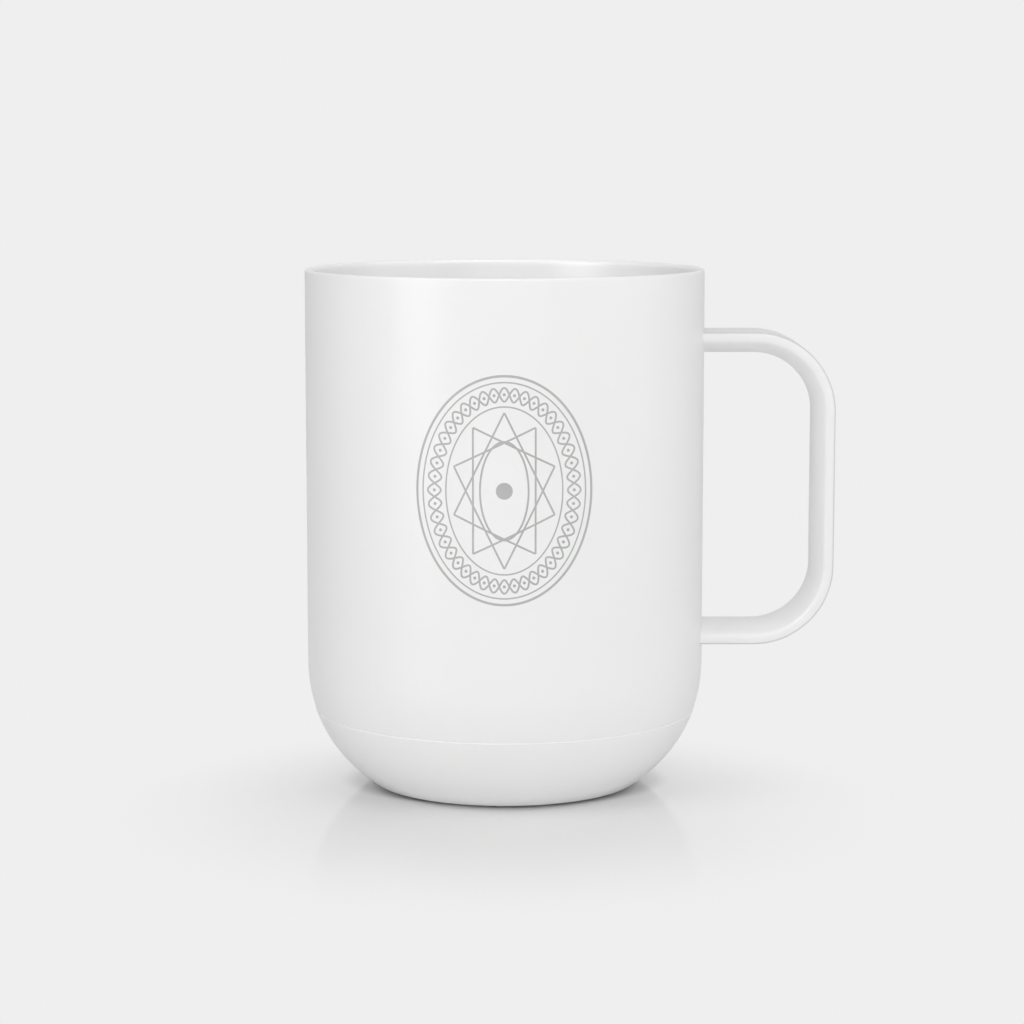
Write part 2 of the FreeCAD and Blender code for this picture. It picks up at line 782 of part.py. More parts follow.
def all_screws():
    cover = screws("cover_screws", "screw_circle_radius", "0", "groove_top",
                   "ledge_top + cover_boss_height - 2 * thread_engagement_end",
                   "cover_screw_radius", "cover_screw_head_radius", "cover_screw_head")
    base = screws("base_screws", "screw_circle_radius", "diagonal_angle",
                  "ledge_bottom + screw_clearance", "plate_top - 2 * thread_engagement_end",
                  "base_screw_radius", "base_screw_head_radius", "base_screw_head")
    carrier = screws("carrier_screws", "ear_circle_radius", "diagonal_angle", "plate_bottom",
                     "ring_bottom + lug_thickness", "base_screw_radius",
                     "base_screw_head_radius", "base_screw_head")
    board = screws("board_screws", "standoff_circle_radius", "standoff_angle",
                   "board_bottom - cover_screw_head",
                   "plate_top - 2 * thread_engagement_end",
                   "cover_screw_radius", "cover_screw_head_radius", "cover_screw_head")
    return [cover, base, carrier, board]


def contact_pins():
    members = [cylinder(f"contact_pin_{number}", spot, "contact_top", "pin_radius",
                        "board_bottom - contact_top")
               for number, spot in enumerate(pin_spots())]
    return group("contact_pins", members)


# Button and switch

def power_button():
    """The cap with a shallow dish, its flange and the stem that works the switch."""
    edge = "button_edge_radius"
    return turned("power_button", [
        ("0", "button_bottom + dish_depth", "right", "dish_arc_radius"),
        ("dish_radius", "button_bottom"),
        (f"button_radius - {edge}", "button_bottom", "left", edge),
        ("button_radius", f"button_bottom + {edge}"),
        ("button_radius", "chamber_floor"),
        ("button_flange_radius", "chamber_floor"),
        ("button_flange_radius", "ledge_bottom"),
        ("button_stem_radius", "ledge_bottom"),
        ("button_stem_radius", "plunger_bottom"),
        ("0", "plunger_bottom"),
    ])


def button_boot():
    """A thin silicone cone between the button's flange and the retainer."""
    foot = "button_stem_radius + stem_clearance"
    rim = "button_chamber_radius - groove_clearance"
    return turned("button_boot", [
        (foot, "ledge_bottom"),
        (f"{foot} + boot_foot_width", "ledge_bottom"),
        (f"{foot} + boot_foot_width", "ledge_bottom + boot_foot_height"),
        (f"{rim} - boot_wall", "collar_top - boot_wall"),
        (rim, "collar_top - boot_wall"),
        (rim, "collar_top"),
        (f"{rim} - boot_rim_width", "collar_top"),
        (foot, "ledge_bottom + boot_foot_rise"),
    ])


def button_retainer():
    return ring("button_retainer", "button_stem_radius + stem_clearance", "collar_radius",
                "collar_top", "retainer_top")


def switch_body():
    body = new_body("switch_body")
    square = new_sketch(body, "XY_Plane", "switch_bottom")
    half = "switch_side / 2"
    rectangle(square, f"-{half}", f"-{half}", half, half)
    pad(body, square, "switch_height")
    hole = circle(new_sketch(body, "XY_Plane", "switch_bottom"), "0", "0",
                  "plunger_radius + plunger_clearance")
    pocket(body, hole, "switch_height / 2")
    chamber = circle(new_sketch(body, "XY_Plane", "plunger_flange_bottom"), "0", "0",
                     "plunger_flange_radius + 2 * plunger_clearance")
    pocket(body, chamber, "switch_pocket_top - plunger_flange_bottom")
    return body


def switch_plunger():
    return turned("switch_plunger", [
        ("0", "plunger_bottom"),
        ("plunger_radius", "plunger_bottom"),
        ("plunger_radius", "plunger_flange_bottom"),
        ("plunger_flange_radius", "plunger_flange_bottom"),
        ("plunger_flange_radius", "plunger_flange_top"),
        ("0", "plunger_flange_top"),
    ])


# Carrier, cells and board

def battery_carrier():
    """The moulded frame: plate, cradles for two cells, bosses, standoffs and ears."""
    body = new_body("battery_carrier")
    disc = circle(new_sketch(body, "XY_Plane", "plate_bottom"), "0", "0", "plate_radius")
    pad(body, disc, "plate_thickness")
    cradle = new_sketch(body, "XY_Plane", "plate_top")
    half = "cradle_half_width"
    end = "(cradle_half_length + cradle_end_wall)"
    corner = "cradle_corner"
    outline(cradle, [
        (f"-{half}", f"-{end} + {corner}"), (f"-{half} + {corner}", f"-{end}"),
        (f"{half} - {corner}", f"-{end}"), (half, f"-{end} + {corner}"),
        (half, f"{end} - {corner}"), (f"{half} - {corner}", end),
        (f"-{half} + {corner}", end), (f"-{half}", f"{end} - {corner}"),
    ])
    pad(body, cradle, "cradle_height")
    for side in ("-cell_offset", "cell_offset"):
        trough = circle(new_sketch(body, "XZ_Plane"), side, "cell_axis_height",
                        "trough_radius")
        pocket(body, trough, "2 * cradle_half_length", both=True)
    slots = new_sketch(body, "XY_Plane", "plate_bottom")
    width = "(tab_width / 2 + tab_slot_clearance)"
    for side in ("-cell_offset", "cell_offset"):
        rectangle(slots, f"{side} - {width}", "-cradle_half_length",
                  f"{side} + {width}", "-(cell_half - tab_slot_clearance)")
    pocket(body, slots, "cell_axis_height - plate_bottom")
    tail = new_sketch(body, "XY_Plane", "plate_bottom")
    reach = "(tail_distance - tail_slot_clearance)"
    across = "(tail_width / 2 + tail_slot_clearance)"
    rectangle(tail, "-(plate_radius + tail_slot_clearance)", f"-{across}", f"-{reach}",
              across)
    pocket(body, tail, "plate_thickness")
    ears_and_bosses(body)
    return body


def ears_and_bosses(body):
    """Four ears up to the mounting ring, four bosses and four standoffs down."""
    turn = "diagonal_angle"
    ear_spot = on_circle("ear_circle_radius", turn)
    boss_spot = on_circle("screw_circle_radius", turn)
    web = outline(new_sketch(body, "XY_Plane", "plate_bottom"), [
        slanted("screw_circle_radius", "-ear_radius", turn),
        slanted("ear_circle_radius", "-ear_radius", turn),
        slanted("ear_circle_radius", "ear_radius", turn),
        slanted("screw_circle_radius", "ear_radius", turn),
    ])
    arm = pad(body, web, "plate_thickness")
    ear = circle(new_sketch(body, "XY_Plane", "plate_bottom"), *ear_spot, "ear_radius")
    post = pad(body, ear, "ring_bottom - plate_bottom")
    boss = circle(new_sketch(body, "XY_Plane", "ledge_top"), *boss_spot, "base_boss_radius")
    leg = pad(body, boss, "plate_bottom - ledge_top")
    sink = circle(new_sketch(body, "XY_Plane", "plate_bottom"), *ear_spot,
                  "base_screw_head_radius + screw_clearance")
    sunk = pocket(body, sink, "base_screw_head")
    bore = circle(new_sketch(body, "XY_Plane", "plate_bottom"), *ear_spot,
                  "base_screw_radius + screw_clearance")
    through = pocket(body, bore, "ring_bottom - plate_bottom")
    hole = circle(new_sketch(body, "XY_Plane", "ledge_top"), *boss_spot,
                  "base_screw_radius + thread_clearance")
    thread = pocket(body, hole, "plate_top - thread_engagement_end - ledge_top")
    around(body, [arm, post, leg, sunk, through, thread])
    stand_spot = on_circle("standoff_circle_radius", "standoff_angle")
    stand = circle(new_sketch(body, "XY_Plane", "board_top"), *stand_spot,
                   "standoff_radius")
    pillar = pad(body, stand, "plate_bottom - board_top")
    drill = circle(new_sketch(body, "XY_Plane", "board_top"), *stand_spot,
                   "cover_screw_radius + thread_clearance")
    drilled = pocket(body, drill, "plate_top - thread_engagement_end - board_top")
    around(body, [pillar, drilled])


def battery_cell(label, side, nub_end):
    """A cell lying along Y: its can, and the nub on one end."""
    can = doc.addObject("Part::Cylinder", label + "_can")
    nub = doc.addObject("Part::Cylinder", label + "_nub")
    start = "-cell_half" if nub_end > 0 else "-cell_half + cell_nub_height"
    nub_length = "cell_nub_height + cell_nub_root"
    nub_start = f"cell_half - ({nub_length})" if nub_end > 0 else "-cell_half"
    rows = ((can, "cell_radius", "cell_length - cell_nub_height", start),
            (nub, "cell_nub_radius", nub_length, nub_start))
    for solid, radius, length, front in rows:
        solid.setExpression("Radius", bound(radius))
        solid.setExpression("Height", bound(length))
        solid.Placement.Rotation = FreeCAD.Rotation(FreeCAD.Vector(1, 0, 0), -90)
        solid.setExpression("Placement.Base.x", bound(side))
        solid.setExpression("Placement.Base.y", bound(front))
        solid.setExpression("Placement.Base.z", bound("cell_axis_height"))
    cell = fuse(label, can, nub)
    cell.Label = label
    return cell


def cell_link():
    """The strip that joins the two cells at the back."""
    link = block("cell_link", "-cell_offset - tab_width / 2", "cell_half",
                 "cell_axis_height - strip_width / 2", "2 * cell_offset + tab_width",
                 "strip_thickness", "strip_width")
    link.Label = "cell_link"
    return link


def cell_tabs():
    """Two strips from the cells' front ends down to the board."""
    members = []
    for number, side in enumerate(("-cell_offset", "cell_offset")):
        members.append(block(
            f"cell_tab_{number}", f"{side} - tab_width / 2",
            "-cell_half - strip_thickness", "board_top", "tab_width", "strip_thickness",
            "cell_axis_height + strip_width / 2 - board_top"))
    return group("cell_tabs", members)


def main_board():
    body = new_body("main_board")
    disc = circle(new_sketch(body, "XY_Plane", "board_bottom"), "0", "0", "board_radius")
    pad(body, disc, "board_thickness")
    leg_hole = circle(new_sketch(body, "XY_Plane", "board_bottom"),
                      *on_circle("screw_circle_radius", "diagonal_angle"),
                      "base_boss_radius + board_hole_clearance")
    legs = pocket(body, leg_hole, "board_thickness")
    screw_hole = circle(new_sketch(body, "XY_Plane", "board_bottom"),
                        *on_circle("standoff_circle_radius", "standoff_angle"),
                        "cover_screw_radius + screw_clearance")
    holes = pocket(body, screw_hole, "board_thickness")
    around(body, [legs, holes])
    return body


# Packages on the board: name, centre x, centre y, width, depth, height
CHIPS = (
    ("controller", -6.0, 5.0, 5.0, 5.0, 0.9),
    ("charger", 5.5, -6.5, 4.0, 4.0, 0.8),
    ("driver", -7.0, -7.5, 3.3, 3.3, 1.0),
    ("switch_pair", -12.5, -7.5, 3.3, 3.3, 1.0),
    ("radio", 4.0, 14.0, 6.0, 4.5, 1.2),
    ("crystal", -1.0, 5.0, 2.5, 2.0, 0.6),
    ("shunt", -12.5, 6.5, 3.2, 1.6, 0.6),
)
CAPACITOR = (1.6, 0.8, 0.8)
CAPACITOR_PITCH = 2.6
CAPACITOR_COUNT = 5
CAPACITOR_ROWS = (-12.5, 10.5)


def board_chips():
    """The packages and two rows of capacitors."""
    members = []
    for name, x, y, width, depth, height in CHIPS:
        members.append(block(name, f"{x - width / 2}", f"{y - depth / 2}", "board_top",
                             f"{width}", f"{depth}", f"{height}"))
    width, depth, height = CAPACITOR
    for row in CAPACITOR_ROWS:
        for number in range(CAPACITOR_COUNT):
            x = (number - (CAPACITOR_COUNT - 1) / 2) * CAPACITOR_PITCH - width / 2
            members.append(block("capacitor", f"{x}", f"{row}", "board_top",
                                 f"{width}", f"{depth}", f"{height}"))
    return group("board_chips", members)


def power_inductor():
    body = new_body("power_inductor")
    half = "inductor_side / 2"
    base = new_sketch(body, "XY_Plane", "board_top")
    rectangle(base, f"inductor_right - {half}", f"inductor_back - {half}",
              f"inductor_right + {half}", f"inductor_back + {half}")
    pad(body, base, "inductor_height")
    doc.recompute()
    square = body.Tip
    upright = [f"Edge{number}" for number, edge in enumerate(square.Shape.Edges, start=1)
               if abs(edge.BoundBox.ZLength - size("inductor_height")) < TINY]
    chamfer = body.newObject("PartDesign::Chamfer", "inductor_chamfer")
    chamfer.Base = (square, upright)
    chamfer.setExpression("Size", bound("inductor_corner"))
    return body


def heater_connector():
    """The socket that takes the heater's flat tail from the left."""
    left = "-tail_distance + 2 * tail_bend_radius"
    body = new_body("heater_connector")
    base = new_sketch(body, "XY_Plane", "board_top")
    half = "connector_width / 2"
    rectangle(base, left, f"-{half}", f"{left} + connector_depth", half)
    pad(body, base, "connector_height")
    slot = new_sketch(body, "XY_Plane", "tail_end_height - film_thickness / 2 - pin_clearance")
    mouth = "(tail_width / 2 + pin_clearance)"
    rectangle(slot, left, f"-{mouth}", f"{left} + connector_depth / 2", mouth)
    pocket(body, slot, "film_thickness + 2 * pin_clearance")
    return body


def status_led():
    led = block("status_led", "-led_width / 2", "-led_setback - led_depth", "board_top",
                "led_width", "led_depth", "led_height")
    led.Label = "status_led"
    return led


def light_guide():
    """A clear rod from the light to the thin front wall of the base."""
    body = new_body("light_guide")
    start = "led_setback + led_depth + guide_gap"
    rod = circle(new_sketch(body, "XZ_Plane", start), "0", "guide_height", "guide_radius")
    pad(body, rod, f"guide_front - ({start})")
    return body


# Heater

def heat_spreader():
    body = new_body("heat_spreader")
    disc = circle(new_sketch(body, "XY_Plane", "spreader_bottom"), "0", "0",
                  "spreader_radius")
    pad(body, disc, "spreader_thickness")
    return body


def heater_film():
    """The disc under the spreader and its tail, bent down to the board."""
    body = new_body("heater_film")
    disc = circle(new_sketch(body, "XY_Plane", "film_bottom"), "0", "0", "film_radius")
    pad(body, disc, "film_thickness")
    thick = "film_thickness"
    bend = "tail_bend_radius"
    wide = f"({bend} + {thick})"
    top = "film_bottom + film_thickness"
    low = "(tail_end_height - film_thickness / 2)"
    inside = "tail_distance - film_thickness"
    end = "-(tail_distance - 2 * tail_bend_radius - connector_depth / 2 + pin_clearance)"
    tail = outline(new_sketch(body), [
        ("-(film_radius - tail_root)", top),
        (f"-(tail_distance - {wide})", top, "left", wide),
        ("-tail_distance", f"{top} - {wide}"),
        ("-tail_distance", f"{low} + {wide}", "left", wide),
        (f"-(tail_distance - {wide})", low),
        (end, low),
        (end, f"{low} + {thick}"),
        (f"-({inside} - {bend})", f"{low} + {thick}", "right", bend),
        (f"-({inside})", f"{low} + {wide}"),
        (f"-({inside})", f"{top} - {wide}", "right", bend),
        (f"-({inside} - {bend})", "film_bottom"),
        ("-(film_radius - tail_root)", "film_bottom"),
    ])
    pad(body, tail, "tail_width", both=True)
    return body


def heating_element():
    """A foil track that winds back and forth in broken rings, then returns.

    Each ring stops short of the gap on the left. Links join neighbouring rings on
    alternate sides of the gap, and a straight track leads out from the last ring.
    """
    width = size("track_width")
    pitch = size("track_pitch")
    first = size("track_first_radius")
    gap = size("track_gap_half")
    bottom = size("track_bottom")
    thickness = size("track_thickness")
    count = int(size("track_count"))
    base = FreeCAD.Vector(0, 0, bottom)
    pieces = []
    for number in range(count):
        middle = first + number * pitch
        outside = Part.makeCylinder(middle + width / 2, thickness, base)
        inside = Part.makeCylinder(middle - width / 2, thickness, base)
        corner = FreeCAD.Vector(-middle - pitch, -gap, bottom)
        opening = Part.makeBox(middle + pitch, 2 * gap, thickness, corner)
        pieces.append(outside.cut(inside).cut(opening))
    for number in range(count - 1):
        middle = first + number * pitch
        side = gap if number % 2 else -gap - width
        reach = ((middle + pitch) ** 2 - gap ** 2) ** 0.5
        start = (middle ** 2 - gap ** 2) ** 0.5
        corner = FreeCAD.Vector(-reach, side, bottom)
        pieces.append(Part.makeBox(reach - start, width, thickness, corner))
    end = size("film_radius") - width / 2
    corner = FreeCAD.Vector(-end, -width / 2, bottom)
    pieces.append(Part.makeBox(end - first + width, width, thickness, corner))
    bridge = FreeCAD.Vector(-first - width / 2, -width / 2, bottom)
    pieces.append(Part.makeBox(width, gap + width, thickness, bridge))
    element = doc.addObject("Part::Feature", "heating_element")
    element.Label = "heating_element"
    element.Shape = pieces[0].multiFuse(pieces[1:]).removeSplitter()
    element.Placement = FreeCAD.Placement()
    return element


def insulation_disc():
    body = new_body("insulation_disc")
    disc = circle(new_sketch(body, "XY_Plane", "insulation_bottom"), "0", "0",
                  "film_radius")
    pad(body, disc, "track_bottom - insulation_bottom")
    hole = circle(new_sketch(body, "XY_Plane", "insulation_bottom"), "0", "0",
                  "insulation_hole_radius")
    pocket(body, hole, "track_bottom - insulation_bottom")
    return body


def bottom_sensor():
    sensor = block("bottom_sensor", "-sensor_length / 2", "-sensor_width / 2",
                   "film_bottom - sensor_height", "sensor_length", "sensor_width",
                   "sensor_height")
    sensor.Label = "bottom_sensor"
    return sensor


def battery_cells():
    return [battery_cell("battery_cell_left", "-cell_offset", 1),
            battery_cell("battery_cell_right", "cell_offset", -1)]


def build():
    """Make every sub-part, in the order in which the mug is put together."""
    fill_sheet()
    parts = [outer_shell(), inner_liner(), handle(), mounting_ring(), seam_gasket(),
             base_cup(), bottom_cover(), cover_seal(), foot_ring(),
             charge_ring("charge_ring_inner", "inner_contact_radius"),
             charge_ring("charge_ring_outer", "outer_contact_radius"),
             contact_pins(), power_button(), button_boot(), button_retainer(),
             switch_body(), switch_plunger(), battery_carrier()]
    parts += all_screws()
    parts += battery_cells()
    parts += [cell_link(), cell_tabs(), main_board(), board_chips(), power_inductor(),
              heater_connector(), status_led(), light_guide(), heat_spreader(),
              heater_film(), heating_element(), insulation_disc(), bottom_sensor()]
    doc.recompute()
    return parts


def check(parts):
    """Stop unless every object is sound and every sub-part is a good shape."""
    for item in doc.Objects:
        if {"Invalid", "Error"} & set(item.State):
            raise RuntimeError(f"{item.Name} failed: {item.State}")
    for part in parts:
        if part.Shape.isNull() or not part.Shape.isValid():
            raise RuntimeError(f"{part.Label} has no good shape")


def write(parts):
    os.makedirs("parts", exist_ok=True)
    for part in parts:
        part.Shape.exportStep(f"parts/{part.Label}.step")
        box = part.Shape.BoundBox
        print(f"{part.Label:20s} solids {len(part.Shape.Solids):3d} "
              f"volume {part.Shape.Volume:10.2f} z {box.ZMin:7.2f} {box.ZMax:7.2f}")


mug_parts = build()
check(mug_parts)
write(mug_parts)
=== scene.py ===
import json
import math

import bmesh
import bpy
import numpy as np
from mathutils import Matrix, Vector


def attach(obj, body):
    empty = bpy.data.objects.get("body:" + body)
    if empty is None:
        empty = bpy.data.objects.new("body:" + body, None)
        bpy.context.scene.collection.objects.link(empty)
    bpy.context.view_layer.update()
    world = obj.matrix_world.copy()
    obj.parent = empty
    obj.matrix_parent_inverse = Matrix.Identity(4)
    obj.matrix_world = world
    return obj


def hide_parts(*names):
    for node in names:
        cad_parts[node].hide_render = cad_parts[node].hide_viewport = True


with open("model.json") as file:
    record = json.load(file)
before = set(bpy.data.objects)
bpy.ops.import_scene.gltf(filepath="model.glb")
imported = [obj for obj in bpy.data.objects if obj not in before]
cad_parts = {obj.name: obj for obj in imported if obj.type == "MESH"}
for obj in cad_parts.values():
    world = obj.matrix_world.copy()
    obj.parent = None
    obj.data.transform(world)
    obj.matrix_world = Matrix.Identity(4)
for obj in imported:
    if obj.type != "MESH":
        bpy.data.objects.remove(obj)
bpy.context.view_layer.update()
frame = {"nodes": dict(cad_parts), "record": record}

# Sizes in millimetres, in the frame of the part

MM = 0.001
MUG_RADIUS = 40.0
MUG_HEIGHT = 104.4
SHELL_WALL = 0.8
SHELL_TOP = 101.55
BOWL_TOP = 25.0
BOWL_RADIUS = 29.0
BOWL_CENTRE = MUG_RADIUS - BOWL_RADIUS
SEAM = 15.5
SEAM_EDGE = 0.1
SHELL_EDGE = 0.03
SEAM_MARGIN = 0.5
LINER_INNER = 37.6
LINER_OUTER = 38.4
LINER_FLOOR = 33.0
LINER_UNDERSIDE = 32.2
LINER_CORNER = 12.0
LIP_HALF = 0.45
LIP_INNER = 1.1
LIP_APRON = 0.3
FLARE_HEIGHT = 10.9
FLARE_OUTSIDE = 6.0

HANDLE_REACH = 66.0
HANDLE_TOP = 92.0
HANDLE_BOTTOM = 29.1
HANDLE_BEND = 16.0
STRAP_HALF = 7.0
STRAP_THICK = 4.4
STRAP_EDGE = 0.5
STRAP_RIM = 1.8
STRAP_ROUND = 3.2
STRAP_BREAK = 1.0
STRAP_ROOT = 39.6

BASE_BOTTOM = 0.6
BASE_WALL = 2.0
BASE_EDGE = 0.15
BASE_PROUD = 0.12
MOULDED_EDGE = 0.2
REBATE = 24.99
LEDGE_LOW = 3.3
LEDGE_HIGH = 5.3
LEDGE_HOLE = 17.99
TONGUE_OUTER = 37.4
TONGUE_INNER = 36.0
TONGUE_TOP = 17.7
FOOT_INNER = 20.89
FOOT_OUTER = 23.79
FOOT_TOP = 1.7
FOOT_EDGE = 0.4
FOOT_UPPER_EDGE = 0.1

COVER_BOTTOM = 0.9
CONTACT_TOP = 1.9
CONTACT_WIDTH = 1.9
CONTACT_EDGE = 0.12
INNER_CONTACT = 8.0
OUTER_CONTACT = 12.19
BUTTON_RADIUS = 4.2
BUTTON_BOTTOM = 1.2
BUTTON_EDGE = 0.3
DISH_MARGIN = 1.05
DISH_DEPTH = 0.2
FLANGE_RADIUS = 5.0
FLANGE_LOW = 2.7
FLANGE_EDGE = 0.1
STEM_RADIUS = 1.5
STEM_TOP = 5.7
STEM_EDGE = 0.15


# Outlines

def bowl(height, inset=0.0):
    """Radius of the bowl at a height: a circle's arc whose centre is in from the wall."""
    reach = (BOWL_RADIUS - inset) ** 2 - (BOWL_TOP - height) ** 2
    return BOWL_CENTRE + math.sqrt(reach)


def bowl_arc(low, high, inset=0.0, count=40):
    """Points (r, z, 0) of the bowl from one height to another, evenly by angle."""
    radius = BOWL_RADIUS - inset
    ends = [math.asin((BOWL_TOP - height) / radius) for height in (low, high)]
    angle = np.linspace(ends[0], ends[1], count)
    return [(BOWL_CENTRE + radius * c, BOWL_TOP - radius * s, 0.0)
            for c, s in zip(np.cos(angle), np.sin(angle))]


def arc(centre, radius, first, last, count=12):
    """Points (r, z, 0) of a circle's arc between two angles in degrees."""
    angle = np.radians(np.linspace(first, last, count))
    return [(centre[0] + radius * c, centre[1] + radius * s, 0.0)
            for c, s in zip(np.cos(angle), np.sin(angle))]


# An arc's apron as a share of its radius, and how many times the apron and the arc's own
# reach a side has to be long to get one
APRON = 0.6
APRON_ROOM = 3.0


def rounded(corners, closed=True, steps=7):
    """Outline through corners (r, z, fillet): each fillet is an arc tangent to both sides.

    An apron, a point just before and after each arc, keeps the flat sides flat when
    they are shaded smooth.
    """
    spots = np.array(corners, float)
    count = len(spots)
    parts = []
    for number, (r, z, fillet) in enumerate(spots):
        here = np.array((r, z))
        if fillet == 0 or (not closed and number in (0, count - 1)):
            parts.append(here[None])
            continue
        back = spots[number - 1, :2] - here
        ahead = spots[(number + 1) % count, :2] - here
        gaps = np.hypot(*back), np.hypot(*ahead)
        back, ahead = back / gaps[0], ahead / gaps[1]
        half = math.acos(np.clip(back @ ahead, -1.0, 1.0)) / 2
        reach = fillet / math.tan(half)
        middle = back + ahead
        centre = here + middle / np.hypot(*middle) * fillet / math.sin(half)
        start, end = here + back * reach, here + ahead * reach
        first = math.atan2(*(start - centre)[::-1])
        turn = math.atan2(*(end - centre)[::-1]) - first
        turn = (turn + math.pi) % (2 * math.pi) - math.pi
        angle = first + turn * np.linspace(0.0, 1.0, steps)
        curve = centre + fillet * np.stack([np.cos(angle), np.sin(angle)], -1)
        apron = APRON * fillet
        if gaps[0] > APRON_ROOM * (reach + apron):
            parts.append((start + back * apron)[None])
        parts.append(curve)
        if gaps[1] > APRON_ROOM * (reach + apron):
            parts.append((end + ahead * apron)[None])
    return np.vstack(parts)


def spread(outline, longest=4.0, closed=True):
    """The outline with long straight sides divided, so that no side is over longest."""
    after = np.roll(outline, -1, axis=0) if closed else outline[1:]
    before = outline if closed else outline[:-1]
    parts = []
    for start, end in zip(before, after):
        pieces = max(1, math.ceil(np.hypot(*(end - start)) / longest))
        share = np.arange(pieces)[:, None] / pieces
        parts.append(start + (end - start) * share)
    if not closed:
        parts.append(outline[-1:])
    return np.vstack(parts)


# Surfaces

# Edges that turn by more than this stay crisp
SHARP = math.radians(35.0)

# Points this near are one, and edges this short are none, in metres
SAME_POINT = 1e-8
NO_EDGE = 1e-9


def new_piece(name, mesh):
    """A piece with this mesh, shaded smooth but for its crisp edges."""
    mesh.polygons.foreach_set("use_smooth", np.ones(len(mesh.polygons), bool))
    mesh.set_sharp_from_angle(angle=SHARP)
    piece = bpy.data.objects.new(name, mesh)
    bpy.context.scene.collection.objects.link(piece)
    return piece


def skin(name, points, wrap=(True, True), shade_paint=None):
    """A mesh from a grid of points (m, n, 3) in millimetres, joined round where it wraps.

    Points that fall together, as at a pole, become one. The faces are turned so that
    the enclosed volume is positive. shade_paint, a number for each point, goes into the
    mesh as an attribute for its material, which paints shade by it.
    """
    rows, columns = points.shape[:2]
    i = np.arange(rows if wrap[0] else rows - 1)[:, None]
    j = np.arange(columns if wrap[1] else columns - 1)[None, :]
    ahead, beside = (i + 1) % rows, (j + 1) % columns
    quads = np.stack(np.broadcast_arrays(i * columns + j, ahead * columns + j,
                                         ahead * columns + beside, i * columns + beside), -1)
    mesh = bpy.data.meshes.new(name)
    mesh.from_pydata((points.reshape(-1, 3) * MM).tolist(), [], quads.reshape(-1, 4).tolist())
    if shade_paint is not None:
        marks = mesh.attributes.new("shade_paint", "FLOAT", "POINT")
        marks.data.foreach_set("value", np.ascontiguousarray(shade_paint, float).ravel())
    work = bmesh.new()
    work.from_mesh(mesh)
    bmesh.ops.remove_doubles(work, verts=work.verts, dist=SAME_POINT)
    bmesh.ops.dissolve_degenerate(work, edges=work.edges, dist=NO_EDGE)
    if work.calc_volume(signed=True) < 0:
        bmesh.ops.reverse_faces(work, faces=work.faces)
    work.to_mesh(mesh)
    work.free()
    return new_piece(name, mesh)


def turned(name, outline, around=224, wrap=True):
    """A surface of revolution: every outline point (r, z) goes round the mug's axis."""
    angle = np.linspace(0.0, 2 * math.pi, around, endpoint=False)
    r, z = outline.T
    points = np.stack([np.outer(np.cos(angle), r), np.outer(np.sin(angle), r),
                       np.broadcast_to(z, (around, len(z)))], -1)
    return skin(name, points, wrap=(True, wrap))


def join(name, pieces):
    """Several meshes in one piece."""
    work = bmesh.new()
    for piece in pieces:
        work.from_mesh(piece.data)
        old = piece.data
        bpy.data.objects.remove(piece)
        bpy.data.meshes.remove(old)
    mesh = bpy.data.meshes.new(name)
    work.to_mesh(mesh)
    work.free()
    return new_piece(name, mesh)


# The cup

def shell_surface():
    """The straight wall and the bowl below it, down to the crisp edge at the seam."""
    outside = bowl_arc(SEAM + SEAM_MARGIN, BOWL_TOP)
    inside = bowl_arc(BOWL_TOP, SEAM, SHELL_WALL)
    inner = MUG_RADIUS - SHELL_WALL
    corners = [(bowl(SEAM), SEAM, SHELL_EDGE)] + outside
    corners += [(MUG_RADIUS, SHELL_TOP, 0.0), (inner, SHELL_TOP, 0.0)] + inside
    return turned("cup_wall", spread(rounded(corners)))


def liner_surface():
    """The cup's inside: it flares in one easy curve to a thin rounded lip.

    The lip is a small arc outside and a larger one inside. The flare is an arc that
    leaves the straight wall smoothly and meets the inner one where both lean alike:
    half that angle's tangent is the flare's reach over its height. A point just below
    the lip keeps the wall flat when it is shaded smooth.
    """
    flat = LINER_INNER - LINER_CORNER
    middle = MUG_RADIUS - LIP_HALF
    lip = MUG_HEIGHT - LIP_INNER
    rise = LINER_FLOOR + LINER_CORNER
    half_lean = math.atan((middle - LIP_INNER - LINER_INNER) / FLARE_HEIGHT)
    lean = math.degrees(2 * half_lean)
    bend = LIP_INNER + FLARE_HEIGHT / math.sin(2 * half_lean)
    corners = [(0.0, LINER_UNDERSIDE, 0.0)]
    corners += arc((flat, rise), LINER_CORNER + LINER_OUTER - LINER_INNER, -90, 0,
                   count=20)
    corners += [(LINER_OUTER, lip - FLARE_HEIGHT, 0.0),
                (MUG_RADIUS - SHELL_WALL, lip - FLARE_HEIGHT + FLARE_OUTSIDE, 0.0),
                (MUG_RADIUS - SHELL_WALL, SHELL_TOP, 0.0), (MUG_RADIUS, SHELL_TOP, 0.0),
                (MUG_RADIUS, MUG_HEIGHT - LIP_HALF - LIP_APRON, 0.0)]
    corners += arc((middle, MUG_HEIGHT - LIP_HALF), LIP_HALF, 0, 90, count=19)
    corners += arc((middle, lip), LIP_INNER, 90, 180 - lean, count=14)[1:]
    corners += arc((LINER_INNER + bend, lip - FLARE_HEIGHT), bend, 180 - lean, 180,
                   count=13)[1:]
    corners += arc((flat, rise), LINER_CORNER, 0, -90, count=32)
    corners += [(0.0, LINER_FLOOR, 0.0)]
    outline = spread(rounded(corners, closed=False), closed=False)
    return turned("cup_liner", outline, wrap=False)


def meeting(first, reach, second, span):
    """The point farther out, of the two at these distances from two centres."""
    apart = second - first
    length = np.hypot(*apart)
    along = (reach ** 2 - span ** 2 + length ** 2) / (2 * length)
    aside = math.sqrt(reach ** 2 - along ** 2)
    foot = first + apart * along / length
    turn = np.array((-apart[1], apart[0])) / length
    return max(foot + turn * aside, foot - turn * aside, key=lambda point: point[0])


